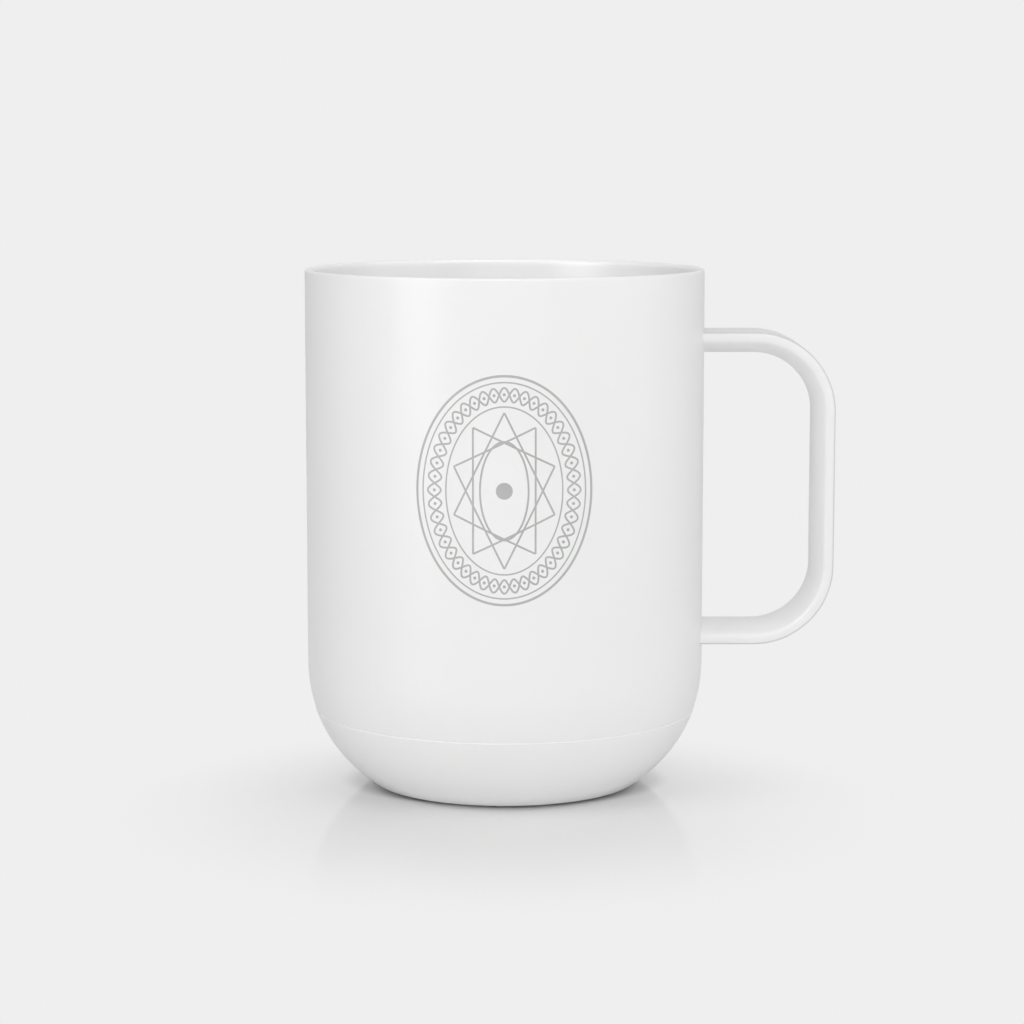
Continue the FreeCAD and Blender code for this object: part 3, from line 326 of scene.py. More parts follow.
def strap_section():
    """The strap's section, points (across, down): flat outside, a slightly rounded rim
    on each side, and one belly arc inside.

    Small arcs join these. Each lies inside its neighbours and touches them, so its
    centre is as far from theirs as the radii differ, and all joins are smooth.
    """
    depth = STRAP_THICK - STRAP_RIM
    belly = (STRAP_HALF ** 2 + depth ** 2) / (2 * depth)
    belly_centre = np.array((0.0, STRAP_THICK - belly))
    rim_centre = np.array((STRAP_HALF - STRAP_ROUND, STRAP_RIM / 2))
    reach = STRAP_ROUND - STRAP_EDGE
    aside = math.sqrt(reach ** 2 - (rim_centre[1] - STRAP_EDGE) ** 2)
    edge_centre = np.array((rim_centre[0] + aside, STRAP_EDGE))
    break_centre = meeting(rim_centre, STRAP_ROUND - STRAP_BREAK,
                           belly_centre, belly - STRAP_BREAK)

    def curve(centre, radius, first, last, number):
        angle = np.linspace(first, last, number)
        return centre + radius * np.stack([np.cos(angle), np.sin(angle)], -1)

    def lean(start, end):
        return math.atan2(end[1] - start[1], end[0] - start[0])

    first = lean(rim_centre, edge_centre)
    second = lean(rim_centre, break_centre)
    third = lean(belly_centre, break_centre)
    flat = np.linspace(0.0, edge_centre[0], 7)[:-1]
    flat[-1] = edge_centre[0] - STRAP_EDGE
    half = np.vstack([np.stack([flat, np.zeros_like(flat)], -1),
                      curve(edge_centre, STRAP_EDGE, -math.pi / 2, first, 8),
                      curve(rim_centre, STRAP_ROUND, first, second, 9)[1:],
                      curve(break_centre, STRAP_BREAK, second, third, 8)[1:],
                      curve(belly_centre, belly, third, math.pi / 2, 15)[1:]])
    other = half[-2:0:-1] * (-1.0, 1.0)
    return np.vstack([half, other])


def strap_path():
    """The outer face's line, points (x, z), and the direction across it, outwards.

    Straight out, a quarter circle, straight down, a quarter circle and straight back.
    """
    near = HANDLE_REACH - HANDLE_BEND
    bend = np.radians(np.linspace(90.0, 0.0, 33))
    out = np.linspace(STRAP_ROOT, near, 8)[:-1]
    down = np.linspace(HANDLE_TOP - HANDLE_BEND, HANDLE_BOTTOM + HANDLE_BEND, 14)[1:-1]
    top_bend = np.stack([near + HANDLE_BEND * np.cos(bend),
                         HANDLE_TOP - HANDLE_BEND + HANDLE_BEND * np.sin(bend)], -1)
    low_bend = np.stack([near + HANDLE_BEND * np.cos(-bend[::-1]),
                         HANDLE_BOTTOM + HANDLE_BEND + HANDLE_BEND * np.sin(-bend[::-1])], -1)
    path = np.vstack([np.stack([out, np.full_like(out, HANDLE_TOP)], -1), top_bend,
                      np.stack([np.full_like(down, HANDLE_REACH), down], -1), low_bend,
                      np.stack([out[::-1], np.full_like(out, HANDLE_BOTTOM)], -1)])
    angle = np.concatenate([np.full_like(out, math.pi / 2), bend, np.zeros_like(down),
                            -bend[::-1], np.full_like(out, -math.pi / 2)])
    return path, np.stack([np.cos(angle), np.sin(angle)], -1)


# Painted shade on the strap's coating: how deep it reaches in from the outer edges, and
# the share of it which the outer flat has
SHADE_DEPTH = 0.2
SHADE_FLAT = 0.5


def strap_surface():
    """The D-section carried along the handle's line, its ends let into the wall.

    Both end rings follow the shell: x is the root of the wall's circle at each y. Painted
    shade greys the coating outside: fully on the two edges, where the section's depth is
    under SHADE_DEPTH, ever less down to twice that depth, and by SHADE_FLAT on the flat.
    """
    section = strap_section()
    path, across = strap_path()
    x = path[:, None, 0] - across[:, None, 0] * section[None, :, 1]
    z = path[:, None, 1] - across[:, None, 1] * section[None, :, 1]
    y = np.broadcast_to(section[None, :, 0], x.shape).copy()
    points = np.stack([x, y, z], -1)
    root = np.sqrt(STRAP_ROOT ** 2 - section[:, 0] ** 2)
    points[0, :, 0] = root
    points[-1, :, 0] = root
    caps = points[[0, -1]].mean(axis=1, keepdims=True)
    caps = np.broadcast_to(caps, (2, points.shape[1], 3))
    points = np.concatenate([caps[:1], points, caps[1:]])
    # Painted shade: a share for each point of the section, grey at the outer edges and on the
    # flat
    shade_share = np.clip(2.0 - section[:, 1] / SHADE_DEPTH, 0.0, 1.0)
    flat = (np.abs(section[:, 0]) < STRAP_HALF - STRAP_EDGE) & (section[:, 1] < SHADE_DEPTH)
    shade_share[flat] = SHADE_FLAT
    return skin("handle_strap", points, wrap=(False, True),
                shade_paint=np.broadcast_to(shade_share, points.shape[:2]))


# The base

def base_surface():
    """The base's bowl with its tongue, wall and ledge, as one closed outline.

    The bowl stands a little proud of the shell, so its upper edge catches the light.
    """
    edge = (BASE_BOTTOM + BASE_EDGE, BOWL_RADIUS + BASE_PROUD - BASE_EDGE)
    run = BOWL_CENTRE + math.sqrt(edge[1] ** 2 - (BOWL_TOP - edge[0]) ** 2)
    lean = math.degrees(math.asin((BOWL_TOP - edge[0]) / edge[1]))
    foot = arc((run, edge[0]), BASE_EDGE, -90, -lean)
    inner_low = BOWL_TOP - math.sqrt((BOWL_RADIUS - BASE_WALL) ** 2
                                     - (TONGUE_INNER - BOWL_CENTRE) ** 2)
    corners = [(REBATE, BASE_BOTTOM, BASE_EDGE)] + foot
    corners += bowl_arc(foot[-1][1], SEAM - SEAM_MARGIN, -BASE_PROUD)[1:]
    corners += [(bowl(SEAM, -BASE_PROUD), SEAM, SEAM_EDGE), (TONGUE_OUTER, SEAM, 0.0),
                (TONGUE_OUTER, TONGUE_TOP, MOULDED_EDGE),
                (TONGUE_INNER, TONGUE_TOP, MOULDED_EDGE)]
    corners += bowl_arc(inner_low, LEDGE_HIGH, BASE_WALL, count=20)
    corners += [(LEDGE_HOLE, LEDGE_HIGH, MOULDED_EDGE),
                (LEDGE_HOLE, LEDGE_LOW, MOULDED_EDGE), (REBATE, LEDGE_LOW, 0.0)]
    return turned("base_bowl", spread(rounded(corners)))


def foot_surface():
    """The soft ring that the mug stands on."""
    corners = [(FOOT_INNER, 0.0, FOOT_EDGE), (FOOT_OUTER, 0.0, FOOT_EDGE),
               (FOOT_OUTER, FOOT_TOP, FOOT_UPPER_EDGE),
               (FOOT_INNER, FOOT_TOP, FOOT_UPPER_EDGE)]
    return turned("foot_pad", rounded(corners), around=160)


# Contacts and button under the base

def contact_surface(name, radius):
    """A flat gold ring with softened edges, flush with the cover."""
    half = CONTACT_WIDTH / 2
    corners = [(radius - half, COVER_BOTTOM, CONTACT_EDGE),
               (radius + half, COVER_BOTTOM, CONTACT_EDGE),
               (radius + half, CONTACT_TOP, 0.0), (radius - half, CONTACT_TOP, 0.0)]
    return turned(name, rounded(corners), around=128)


def button_surface():
    """The cap with a shallow dish, its flange and its stem."""
    span = BUTTON_RADIUS - DISH_MARGIN
    across = np.linspace(0.0, span, 12)
    dish = BUTTON_BOTTOM + DISH_DEPTH * (1.0 - (across / span) ** 2)
    corners = [(r, z, 0.0) for r, z in zip(across, dish)]
    corners += [(BUTTON_RADIUS, BUTTON_BOTTOM, BUTTON_EDGE),
                (BUTTON_RADIUS, FLANGE_LOW, 0.0),
                (FLANGE_RADIUS, FLANGE_LOW, FLANGE_EDGE),
                (FLANGE_RADIUS, LEDGE_LOW, FLANGE_EDGE), (STEM_RADIUS, LEDGE_LOW, 0.0),
                (STEM_RADIUS, STEM_TOP, STEM_EDGE), (0.0, STEM_TOP, 0.0)]
    return turned("button_cap", rounded(corners, closed=False), around=96, wrap=False)


# The printed medallion: fine ribbons of ink on the front of the wall

PRINT_MIDDLE = 64.4
PRINT_HALF = (17.0, 21.75)
INK = 0.02

# Widths of the medallion's lines, and how far each figure is set in from its outer line
RIM_LINE = 0.45
LINE = 0.36
FINE_LINE = 0.28
RIM_INSET = 1.2
BRAID_INSET = 3.5
BORDER_INSET = 5.8
STAR_INSET = 6.9
RING_INSET = 12.4

# The swing and number of the braid's waves, the star's tips and how many tips on each
# side ends, and the radii of the dots in the braid's eyes and in the middle
BRAID_SWING = 1.3
BRAID_WAVES = 22
STAR_TIPS = 10
STAR_STEP = 3
EYE_RADIUS = 0.3
MIDDLE_RADIUS = 1.6

# How much of a line's and a dot's width is their flat top, and the thickness of their
# edge as a share of the ink's
LINE_TOP = 0.82
DOT_TOP = 0.85
INK_EDGE = 0.4

# Where lines cross, the later one is thicker by this share, so that no faces coincide
BRAID_OVER = 0.25
STAR_OVER = 0.04


def on_wall(x, z, lift):
    """Lay points of the flat drawing round the wall: the turn is x over the radius."""
    turn = x / MUG_RADIUS
    radius = MUG_RADIUS + lift
    return np.stack([radius * np.sin(turn), -radius * np.cos(turn), z], -1)


def ribbon(name, line, width, lift=INK, closed=True):
    """A flat band of ink along a line of points (x, z), half its width to each side.

    Its section has four points on top, thinned at the edges, and two inside the wall.
    """
    if closed:
        along = np.roll(line, -1, axis=0) - np.roll(line, 1, axis=0)
    else:
        along = np.gradient(line, axis=0)
    along /= np.hypot(*along.T)[:, None]
    aside = np.stack([-along[:, 1], along[:, 0]], -1) * width / 2
    sides = np.array([-1.0, -LINE_TOP, LINE_TOP, 1.0, 1.0, -1.0])
    lifts = np.array([INK_EDGE, 1.0, 1.0, INK_EDGE, -1.0, -1.0]) * lift
    flat = line[:, None, :] + aside[:, None, :] * sides[None, :, None]
    points = on_wall(flat[..., 0], flat[..., 1], np.broadcast_to(lifts, flat.shape[:2]))
    if not closed:
        ends = np.broadcast_to(points[[0, -1]].mean(axis=1, keepdims=True),
                               (2, len(sides), 3))
        points = np.concatenate([ends[:1], points, ends[1:]])
    return skin(name, points, wrap=(closed, True))


def dot(name, x, z, radius):
    """A round spot of ink: rings of points about (x, z), closed under the wall's face."""
    angle = np.linspace(0.0, 2 * math.pi, 28, endpoint=False)[:, None]
    rings = np.array([0.0, DOT_TOP, 1.0, 1.0, 0.0]) * radius
    lifts = np.array([1.0, 1.0, INK_EDGE, -1.0, -1.0]) * INK
    points = on_wall(x + rings * np.cos(angle), z + rings * np.sin(angle),
                     np.broadcast_to(lifts, (len(angle), len(rings))))
    return skin(name, points, wrap=(True, False))


def oval(inset, wave=0.0, waves=0, phase=0.0, count=720):
    """Points of an oval set in from the medallion's edge, with a sine wave across it."""
    angle = np.linspace(0.0, 2 * math.pi, count, endpoint=False)
    depth = inset + wave * np.cos(waves * angle + phase)
    return np.stack([(PRINT_HALF[0] - depth) * np.cos(angle),
                     PRINT_MIDDLE + (PRINT_HALF[1] - depth) * np.sin(angle)], -1)


def star(inset, tips, step, count=40):
    """A star drawn in one line on an oval: each tip joins the one that is step tips on."""
    order = np.arange(tips + 1) * step % tips
    angle = math.pi / 2 + 2 * math.pi * order / tips
    tip = np.stack([(PRINT_HALF[0] - inset) * np.cos(angle),
                    PRINT_MIDDLE + (PRINT_HALF[1] - inset) * np.sin(angle)], -1)
    share = np.linspace(0.0, 1.0, count)[None, :, None]
    return tip[:-1, None] * (1.0 - share) + tip[1:, None] * share


def medallion():
    """An oval of plain lines, a braid of two waves and a star, all in one ink."""
    wave = oval(BRAID_INSET, BRAID_SWING, BRAID_WAVES)
    counter_wave = oval(BRAID_INSET, BRAID_SWING, BRAID_WAVES, math.pi)
    bands = [ribbon("rim", oval(0.0), RIM_LINE),
             ribbon("rim_inner", oval(RIM_INSET), FINE_LINE),
             ribbon("braid_one", wave, LINE),
             ribbon("braid_two", counter_wave, LINE, INK * (1.0 + BRAID_OVER)),
             ribbon("border", oval(BORDER_INSET), FINE_LINE),
             ribbon("ring", oval(RING_INSET), LINE)]
    for number, side in enumerate(star(STAR_INSET, STAR_TIPS, STAR_STEP)):
        lift = INK * (1.0 + STAR_OVER * number)
        bands.append(ribbon("star", side, LINE, lift, closed=False))
    for x, z in oval(BRAID_INSET, count=2 * BRAID_WAVES):
        bands.append(dot("eye", x, z, EYE_RADIUS))
    bands.append(dot("middle", 0.0, PRINT_MIDDLE, MIDDLE_RADIUS))
    return join("front_print", bands)


# Shader groups: each puts out a value or colour that changes over the surface

FLOAT = "NodeSocketFloat"
COLOUR = "NodeSocketColor"


def new_group(name, takes, gives):
    """An empty group with named inputs (name, default) and outputs (name, kind)."""
    tree = bpy.data.node_groups.new(name, "ShaderNodeTree")
    for label, kind, value in takes:
        socket = tree.interface.new_socket(label, in_out="INPUT", socket_type=kind)
        socket.default_value = value
    for label, kind in gives:
        tree.interface.new_socket(label, in_out="OUTPUT", socket_type=kind)
    return tree, tree.nodes.new("NodeGroupInput"), tree.nodes.new("NodeGroupOutput")


def feed(tree, given, socket):
    """Give a socket what another socket puts out, or a constant."""
    if isinstance(given, bpy.types.NodeSocket):
        tree.links.new(given, socket)
    else:
        socket.default_value = given


def spot_on(tree, stretch=None):
    """The place on the object, each direction counted by its share of stretch."""
    spot = tree.nodes.new("ShaderNodeTexCoord").outputs["Object"]
    if not stretch:
        return spot
    mapping = tree.nodes.new("ShaderNodeMapping")
    mapping.inputs["Scale"].default_value = stretch
    tree.links.new(spot, mapping.inputs["Vector"])
    return mapping.outputs["Vector"]


def along_axis(tree, axis):
    """How far along X, Y or Z the place on the object is."""
    apart = tree.nodes.new("ShaderNodeSeparateXYZ")
    tree.links.new(spot_on(tree), apart.inputs["Vector"])
    return apart.outputs[axis]


def from_middle(tree, stretch):
    """How far the place on the object is from the origin, after the stretch."""
    length = tree.nodes.new("ShaderNodeVectorMath")
    length.operation = "LENGTH"
    tree.links.new(spot_on(tree, stretch), length.inputs[0])
    return length.outputs["Value"]


def worked_out(tree, operation, first, second=None):
    """A Math node's value, from a socket and, where it takes two, a socket or a number."""
    node = tree.nodes.new("ShaderNodeMath")
    node.operation = operation
    tree.links.new(first, node.inputs[0])
    if second is not None:
        feed(tree, second, node.inputs[1])
    return node.outputs["Value"]


def blend(tree, mask, first, second, colour=False):
    """A value or colour from first to second by the mask; each is a socket or constant."""
    mix = tree.nodes.new("ShaderNodeMix")
    mix.data_type = "RGBA" if colour else "FLOAT"
    tree.links.new(mask, mix.inputs["Factor"])
    feed(tree, first, mix.inputs["A"])
    feed(tree, second, mix.inputs["B"])
    return mix.outputs["Result"]


def rising(tree, value, start, end, kind="SMOOTHSTEP"):
    """A mask that goes from 0 where the value is start to 1 where it is end."""
    step = tree.nodes.new("ShaderNodeMapRange")
    step.interpolation_type = kind
    step.inputs["From Min"].default_value = start
    step.inputs["From Max"].default_value = end
    tree.links.new(value, step.inputs["Value"])
    return step.outputs["Result"]


def noise_at(tree, scale, detail=3.0, stretch=None):
    """A noise texture on object coordinates, its scale taken from a socket."""
    noise = tree.nodes.new("ShaderNodeTexNoise")
    noise.inputs["Detail"].default_value = detail
    tree.links.new(spot_on(tree, stretch), noise.inputs["Vector"])
    tree.links.new(scale, noise.inputs["Scale"])
    return noise.outputs["Fac"]


# Shares of the noise's range that are spread over the whole of an effect
DRIFT_RANGE = (0.35, 0.65)
WIPE_RANGE = (0.3, 0.7)

# A stretch that leaves the height out, for the distance from the mug's axis
NO_HEIGHT = (1.0, 1.0, 0.0)

# The coarse grain's scale as a share of the fine one's, and how wipes run upwards
COARSE_SCALE = 0.28
WIPE_STRETCH = (1.0, 1.0, 0.45)


def grain_group():
    """Fine grain: the height of a surface's texture, from two sizes of noise."""
    tree, takes, gives = new_group("Fine grain", [("Scale", FLOAT, 900.0),
                                                  ("Coarse share", FLOAT, 0.4)],
                                   [("Height", FLOAT)])
    wider = worked_out(tree, "MULTIPLY", takes.outputs["Scale"], COARSE_SCALE)
    height = blend(tree, takes.outputs["Coarse share"],
                   noise_at(tree, takes.outputs["Scale"], 2.0), noise_at(tree, wider, 2.0))
    tree.links.new(height, gives.inputs["Height"])
    return tree


def drift_group():
    """Colour drift: one colour wanders slowly into another."""
    tree, takes, gives = new_group(
        "Colour drift", [("First", COLOUR, (1, 1, 1, 1)), ("Second", COLOUR, (1, 1, 1, 1)),
                         ("Scale", FLOAT, 40.0)], [("Colour", COLOUR)])
    wander = rising(tree, noise_at(tree, takes.outputs["Scale"]), *DRIFT_RANGE, "LINEAR")
    colour = blend(tree, wander, takes.outputs["First"], takes.outputs["Second"],
                   colour=True)
    tree.links.new(colour, gives.inputs["Colour"])
    return tree


def handling_group():
    """Handling: roughness that varies as if wiped and touched."""
    tree, takes, gives = new_group(
        "Handling", [("Smoothest", FLOAT, 0.3), ("Roughest", FLOAT, 0.4),
                     ("Scale", FLOAT, 60.0)], [("Roughness", FLOAT)])
    wiped = noise_at(tree, takes.outputs["Scale"], 4.0, WIPE_STRETCH)
    spread_out = tree.nodes.new("ShaderNodeMapRange")
    spread_out.inputs["From Min"].default_value = WIPE_RANGE[0]
    spread_out.inputs["From Max"].default_value = WIPE_RANGE[1]
    tree.links.new(wiped, spread_out.inputs["Value"])
    tree.links.new(takes.outputs["Smoothest"], spread_out.inputs["To Min"])
    tree.links.new(takes.outputs["Roughest"], spread_out.inputs["To Max"])
    tree.links.new(spread_out.outputs["Result"], gives.inputs["Roughness"])
    return tree


def turning_group():
    """Turning marks: the height of fine rings about the mug's axis."""
    tree, takes, gives = new_group("Turning marks", [("Rings per metre", FLOAT, 4000.0)],
                                   [("Height", FLOAT)])
    along = tree.nodes.new("ShaderNodeCombineXYZ")
    tree.links.new(from_middle(tree, NO_HEIGHT), along.inputs["X"])
    rings = tree.nodes.new("ShaderNodeTexNoise")
    rings.inputs["Detail"].default_value = 1.0
    tree.links.new(along.outputs["Vector"], rings.inputs["Vector"])
    tree.links.new(takes.outputs["Rings per metre"], rings.inputs["Scale"])
    tree.links.new(rings.outputs["Fac"], gives.inputs["Height"])
    return tree


GRAIN = grain_group()
DRIFT = drift_group()
HANDLING = handling_group()
TURNING = turning_group()


# Materials

def grey(level):
    """A grey of this level, as red, green, blue and alpha."""
    return (level, level, level, 1.0)


def new_material(name):
    """An empty material, with its nodes and its main shader."""
    material = bpy.data.materials.new(name)
    material.use_nodes = True
    tree = material.node_tree
    return material, tree, tree.nodes["Principled BSDF"]


def use_group(tree, group, **values):
    """A shader group at work, its inputs set by name with _ for a space."""
    node = tree.nodes.new("ShaderNodeGroup")
    node.node_tree = group
    for label, value in values.items():
        node.inputs[label.replace("_", " ")].default_value = value
    return node


def finish(name, first, second, drift, rough, touch, grain, depth, **constants):
    """A material: drifting colour, varying roughness and a fine raised grain.

    drift, touch and grain are scales per metre; depth is the grain's height in metres.
    Constants for the shader's own sockets are named with _ for a space.
    """
    material, tree, bsdf = new_material(name)
    colour = use_group(tree, DRIFT, First=(*first, 1.0), Second=(*second, 1.0), Scale=drift)
    tree.links.new(colour.outputs["Colour"], bsdf.inputs["Base Color"])
    wiped = use_group(tree, HANDLING, Smoothest=rough[0], Roughest=rough[1], Scale=touch)
    tree.links.new(wiped.outputs["Roughness"], bsdf.inputs["Roughness"])
    texture = use_group(tree, GRAIN, Scale=grain)
    raise_by(tree, bsdf, texture.outputs["Height"], depth)
    for label, value in constants.items():
        bsdf.inputs[label.replace("_", " ")].default_value = value
    return material


def raise_by(tree, bsdf, height, depth):
    """Bump the surface by a height, after any bump that is there already."""
    bump = tree.nodes.new("ShaderNodeBump")
    bump.inputs["Strength"].default_value = 1.0
    bump.inputs["Distance"].default_value = depth
    tree.links.new(height, bump.inputs["Height"])
    if bsdf.inputs["Normal"].links:
        tree.links.new(bsdf.inputs["Normal"].links[0].from_socket, bump.inputs["Normal"])
    tree.links.new(bump.outputs["Normal"], bsdf.inputs["Normal"])


def turned_metal(name, first, second, rough, depth):
    """A metal with turning marks about the mug's axis."""
    material = finish(name, first, second, 300.0, rough, 400.0, 3000.0, 2e-7, Metallic=1.0)
    tree = material.node_tree
    rings = use_group(tree, TURNING)
    raise_by(tree, tree.nodes["Principled BSDF"], rings.outputs["Height"], depth)
    return material


def changed(material, mask, label, value, colour=False):
    """Take an input of the material's shader to one value where the mask is 1."""
    tree = material.node_tree
    socket = tree.nodes["Principled BSDF"].inputs[label]
    tree.links.new(blend(tree, mask, socket.links[0].from_socket, value, colour), socket)
    return material


def painted_over(material, mask, colour):
    """Lay a colour over the material where the mask is 1."""
    return changed(material, mask, "Base Color", (*colour, 1.0), colour=True)


def roughened(material, mask, roughness):
    """Take the material to an even roughness where the mask is 1."""
    return changed(material, mask, "Roughness", roughness)


def above(tree, value, limit, soft):
    """A mask that rises from 0 to 1 as the value passes the limit, or falls if soft < 0."""
    return rising(tree, value, limit - soft, limit + soft)


# The board's tracks in millimetres, and its pads
TRACK_LENGTH = 4.2
TRACK_PITCH = 1.1
TRACK_WIDTH = 0.16
TRACK_GREEN = (0.05, 0.24, 0.11)
PADS_PER_METRE = 420.0
PAD_SCATTER = 0.55
PAD_SIZE = 0.16
TIN = (0.62, 0.60, 0.55)

# A cell's dark band and pale end begin this far from its middle, in millimetres
BAND_START = 17.5
END_START = 23.5
BAND_SOFT = 0.1
BAND_COLOUR = (0.02, 0.02, 0.022)
END_COLOUR = (0.62, 0.62, 0.60)

# The felt's strands and the film's cross-hatch
STRANDS_PER_METRE = 1400.0
STRAND_CURL = 3.0
STRAND_LIMIT = 0.62
STRAND_SOFT = 0.05
STRAND_COLOUR = (0.42, 0.40, 0.36)
HATCH_PER_METRE = 1400.0
HATCH_SHARE = 0.16
HATCH_COLOUR = (0.30, 0.12, 0.02)


def board_material():
    """Green solder mask with paler tracks under it and round tinned pads."""
    material = finish("Green solder mask", (0.015, 0.10, 0.045), (0.02, 0.13, 0.06), 90.0,
                      (0.28, 0.36), 200.0, 2500.0, 2e-6, Coat_Weight=0.4)
    tree = material.node_tree
    spot = spot_on(tree)
    tracks = tree.nodes.new("ShaderNodeTexBrick")
    tracks.inputs["Scale"].default_value = 1.0
    tracks.inputs["Brick Width"].default_value = TRACK_LENGTH * MM
    tracks.inputs["Row Height"].default_value = TRACK_PITCH * MM
    tracks.inputs["Mortar Size"].default_value = TRACK_WIDTH * MM
    tree.links.new(spot, tracks.inputs["Vector"])
    painted_over(material, tracks.outputs["Fac"], TRACK_GREEN)
    pads = tree.nodes.new("ShaderNodeTexVoronoi")
    pads.inputs["Scale"].default_value = PADS_PER_METRE
    pads.inputs["Randomness"].default_value = PAD_SCATTER
    tree.links.new(spot, pads.inputs["Vector"])
    inside = worked_out(tree, "LESS_THAN", pads.outputs["Distance"], PAD_SIZE)
    return painted_over(material, inside, TIN)


def wrap_material():
    """Shrink wrap on a cell, with a dark band near each end and a pale end."""
    material = finish("Blue cell wrap", (0.03, 0.17, 0.24), (0.04, 0.20, 0.27), 50.0,
                      (0.18, 0.26), 120.0, 700.0, 6e-6)
    tree = material.node_tree
    out = worked_out(tree, "ABSOLUTE", along_axis(tree, "Y"))
    band = above(tree, out, BAND_START * MM, BAND_SOFT * MM)
    end = above(tree, out, END_START * MM, BAND_SOFT * MM)
    painted_over(material, band, BAND_COLOUR)
    return painted_over(material, end, END_COLOUR)


def felt_material():
    """Pressed fibre: short light and dark strands."""
    material = finish("Fibre insulation", (0.60, 0.58, 0.53), (0.72, 0.70, 0.66), 260.0,
                      (0.85, 0.95), 300.0, 5200.0, 4e-5, Sheen_Weight=0.3)
    tree = material.node_tree
    strands = tree.nodes.new("ShaderNodeTexNoise")
    strands.inputs["Scale"].default_value = STRANDS_PER_METRE
    strands.inputs["Distortion"].default_value = STRAND_CURL
    tree.links.new(spot_on(tree), strands.inputs["Vector"])
    mask = above(tree, strands.outputs["Fac"], STRAND_LIMIT, STRAND_SOFT)
    return painted_over(material, mask, STRAND_COLOUR)


def film_material():
    """Amber film with a faint cross-hatch of the adhesive under it."""
    material = finish("Amber film", (0.46, 0.19, 0.03), (0.54, 0.25, 0.05), 70.0,
                      (0.16, 0.26), 150.0, 1500.0, 3e-6, Coat_Weight=0.3)
    tree = material.node_tree
    hatch = tree.nodes.new("ShaderNodeTexChecker")
    hatch.inputs["Scale"].default_value = HATCH_PER_METRE
    hatch.inputs["Color1"].default_value = grey(0.0)
    hatch.inputs["Color2"].default_value = grey(HATCH_SHARE)
    tree.links.new(spot_on(tree), hatch.inputs["Vector"])
    return painted_over(material, hatch.outputs["Color"], HATCH_COLOUR)


# The white of the coating and of the base, between these two colours, and its roughness
WHITE = (0.893, 0.893, 0.891), (0.899, 0.899, 0.897)
WHITE_ROUGH = (0.28, 0.305)

# The coating is less glossy on the lip, this far down from the top, has a painted
# highlight on the flare, this far down and in from the wall's radius, and painted shade
# in grey on the handle's outer edges: lengths in millimetres
LIP_BAND = 0.55
LIP_SOFT = 0.3
LIP_ROUGH = 0.5
FLARE_BAND = 1.0
FLARE_FADE = 0.7
FLARE_INSET = 0.5
FLARE_SOFT = 0.2
FLARE_HIGHLIGHT = (0.965, 0.965, 0.963)
SHADED_COATING = (0.66, 0.66, 0.665)

# The base's two bands of painted light, a highlight along the upper edge and light on the
# lowest part of the bowl near the table: how softly they end and the lower one's height, in
# millimetres, their colour and the upper one's roughness
RIM_SOFT = 0.03
LOWER_RIM = 3.0
LOWER_SOFT = 2.2
PAINTED_LIGHT = (0.96, 0.96, 0.958)
RIM_ROUGH = 0.55


def coating_material(name):
    """The satin white coating of the steel pieces."""
    return finish(name, *WHITE, 30.0, WHITE_ROUGH, 45.0, 1100.0, 1.2e-6)


def cup_material():
    """The coating, less glossy on the lip and with a painted highlight on the flare inside
    it.
    """
    material = coating_material("Satin white coating")
    tree = material.node_tree
    height = along_axis(tree, "Z")
    high = above(tree, height, (MUG_HEIGHT - FLARE_BAND) * MM, FLARE_FADE * MM)
    inside = above(tree, from_middle(tree, NO_HEIGHT), (MUG_RADIUS - FLARE_INSET) * MM,
                   -FLARE_SOFT * MM)
    # Painted highlight: the flare just inside the lip is made paler
    painted_over(material, worked_out(tree, "MULTIPLY", high, inside), FLARE_HIGHLIGHT)
    lip = above(tree, height, (MUG_HEIGHT - LIP_BAND) * MM, LIP_SOFT * MM)
    return roughened(material, lip, LIP_ROUGH)


def strap_material():
    """The same coating, with painted shade in grey on the strap's outer edges and flat."""
    material = coating_material("White coating with painted edge shade")
    shade_paint = material.node_tree.nodes.new("ShaderNodeAttribute")
    shade_paint.attribute_name = "shade_paint"
    # Painted shade: the coating turns grey where the attribute marks it
    return painted_over(material, shade_paint.outputs["Fac"], SHADED_COATING)


def base_material():
    """White moulding, painted paler at its two edges as a highlight above and light low down,
    and less glossy at the upper one.
    """
    material = finish("White base plastic", *WHITE, 40.0, (0.285, 0.32), 60.0, 1900.0, 1.0e-6)
    tree = material.node_tree
    height = along_axis(tree, "Z")
    upper = above(tree, height, (SEAM - SEAM_EDGE) * MM, RIM_SOFT * MM)
    lower = above(tree, height, LOWER_RIM * MM, -LOWER_SOFT * MM)
    # Painted highlight along the seam, and painted light low on the bowl where it is shaded
    # near the table
    painted_over(material, upper, PAINTED_LIGHT)
    painted_over(material, lower, PAINTED_LIGHT)
    return roughened(material, upper, RIM_ROUGH)


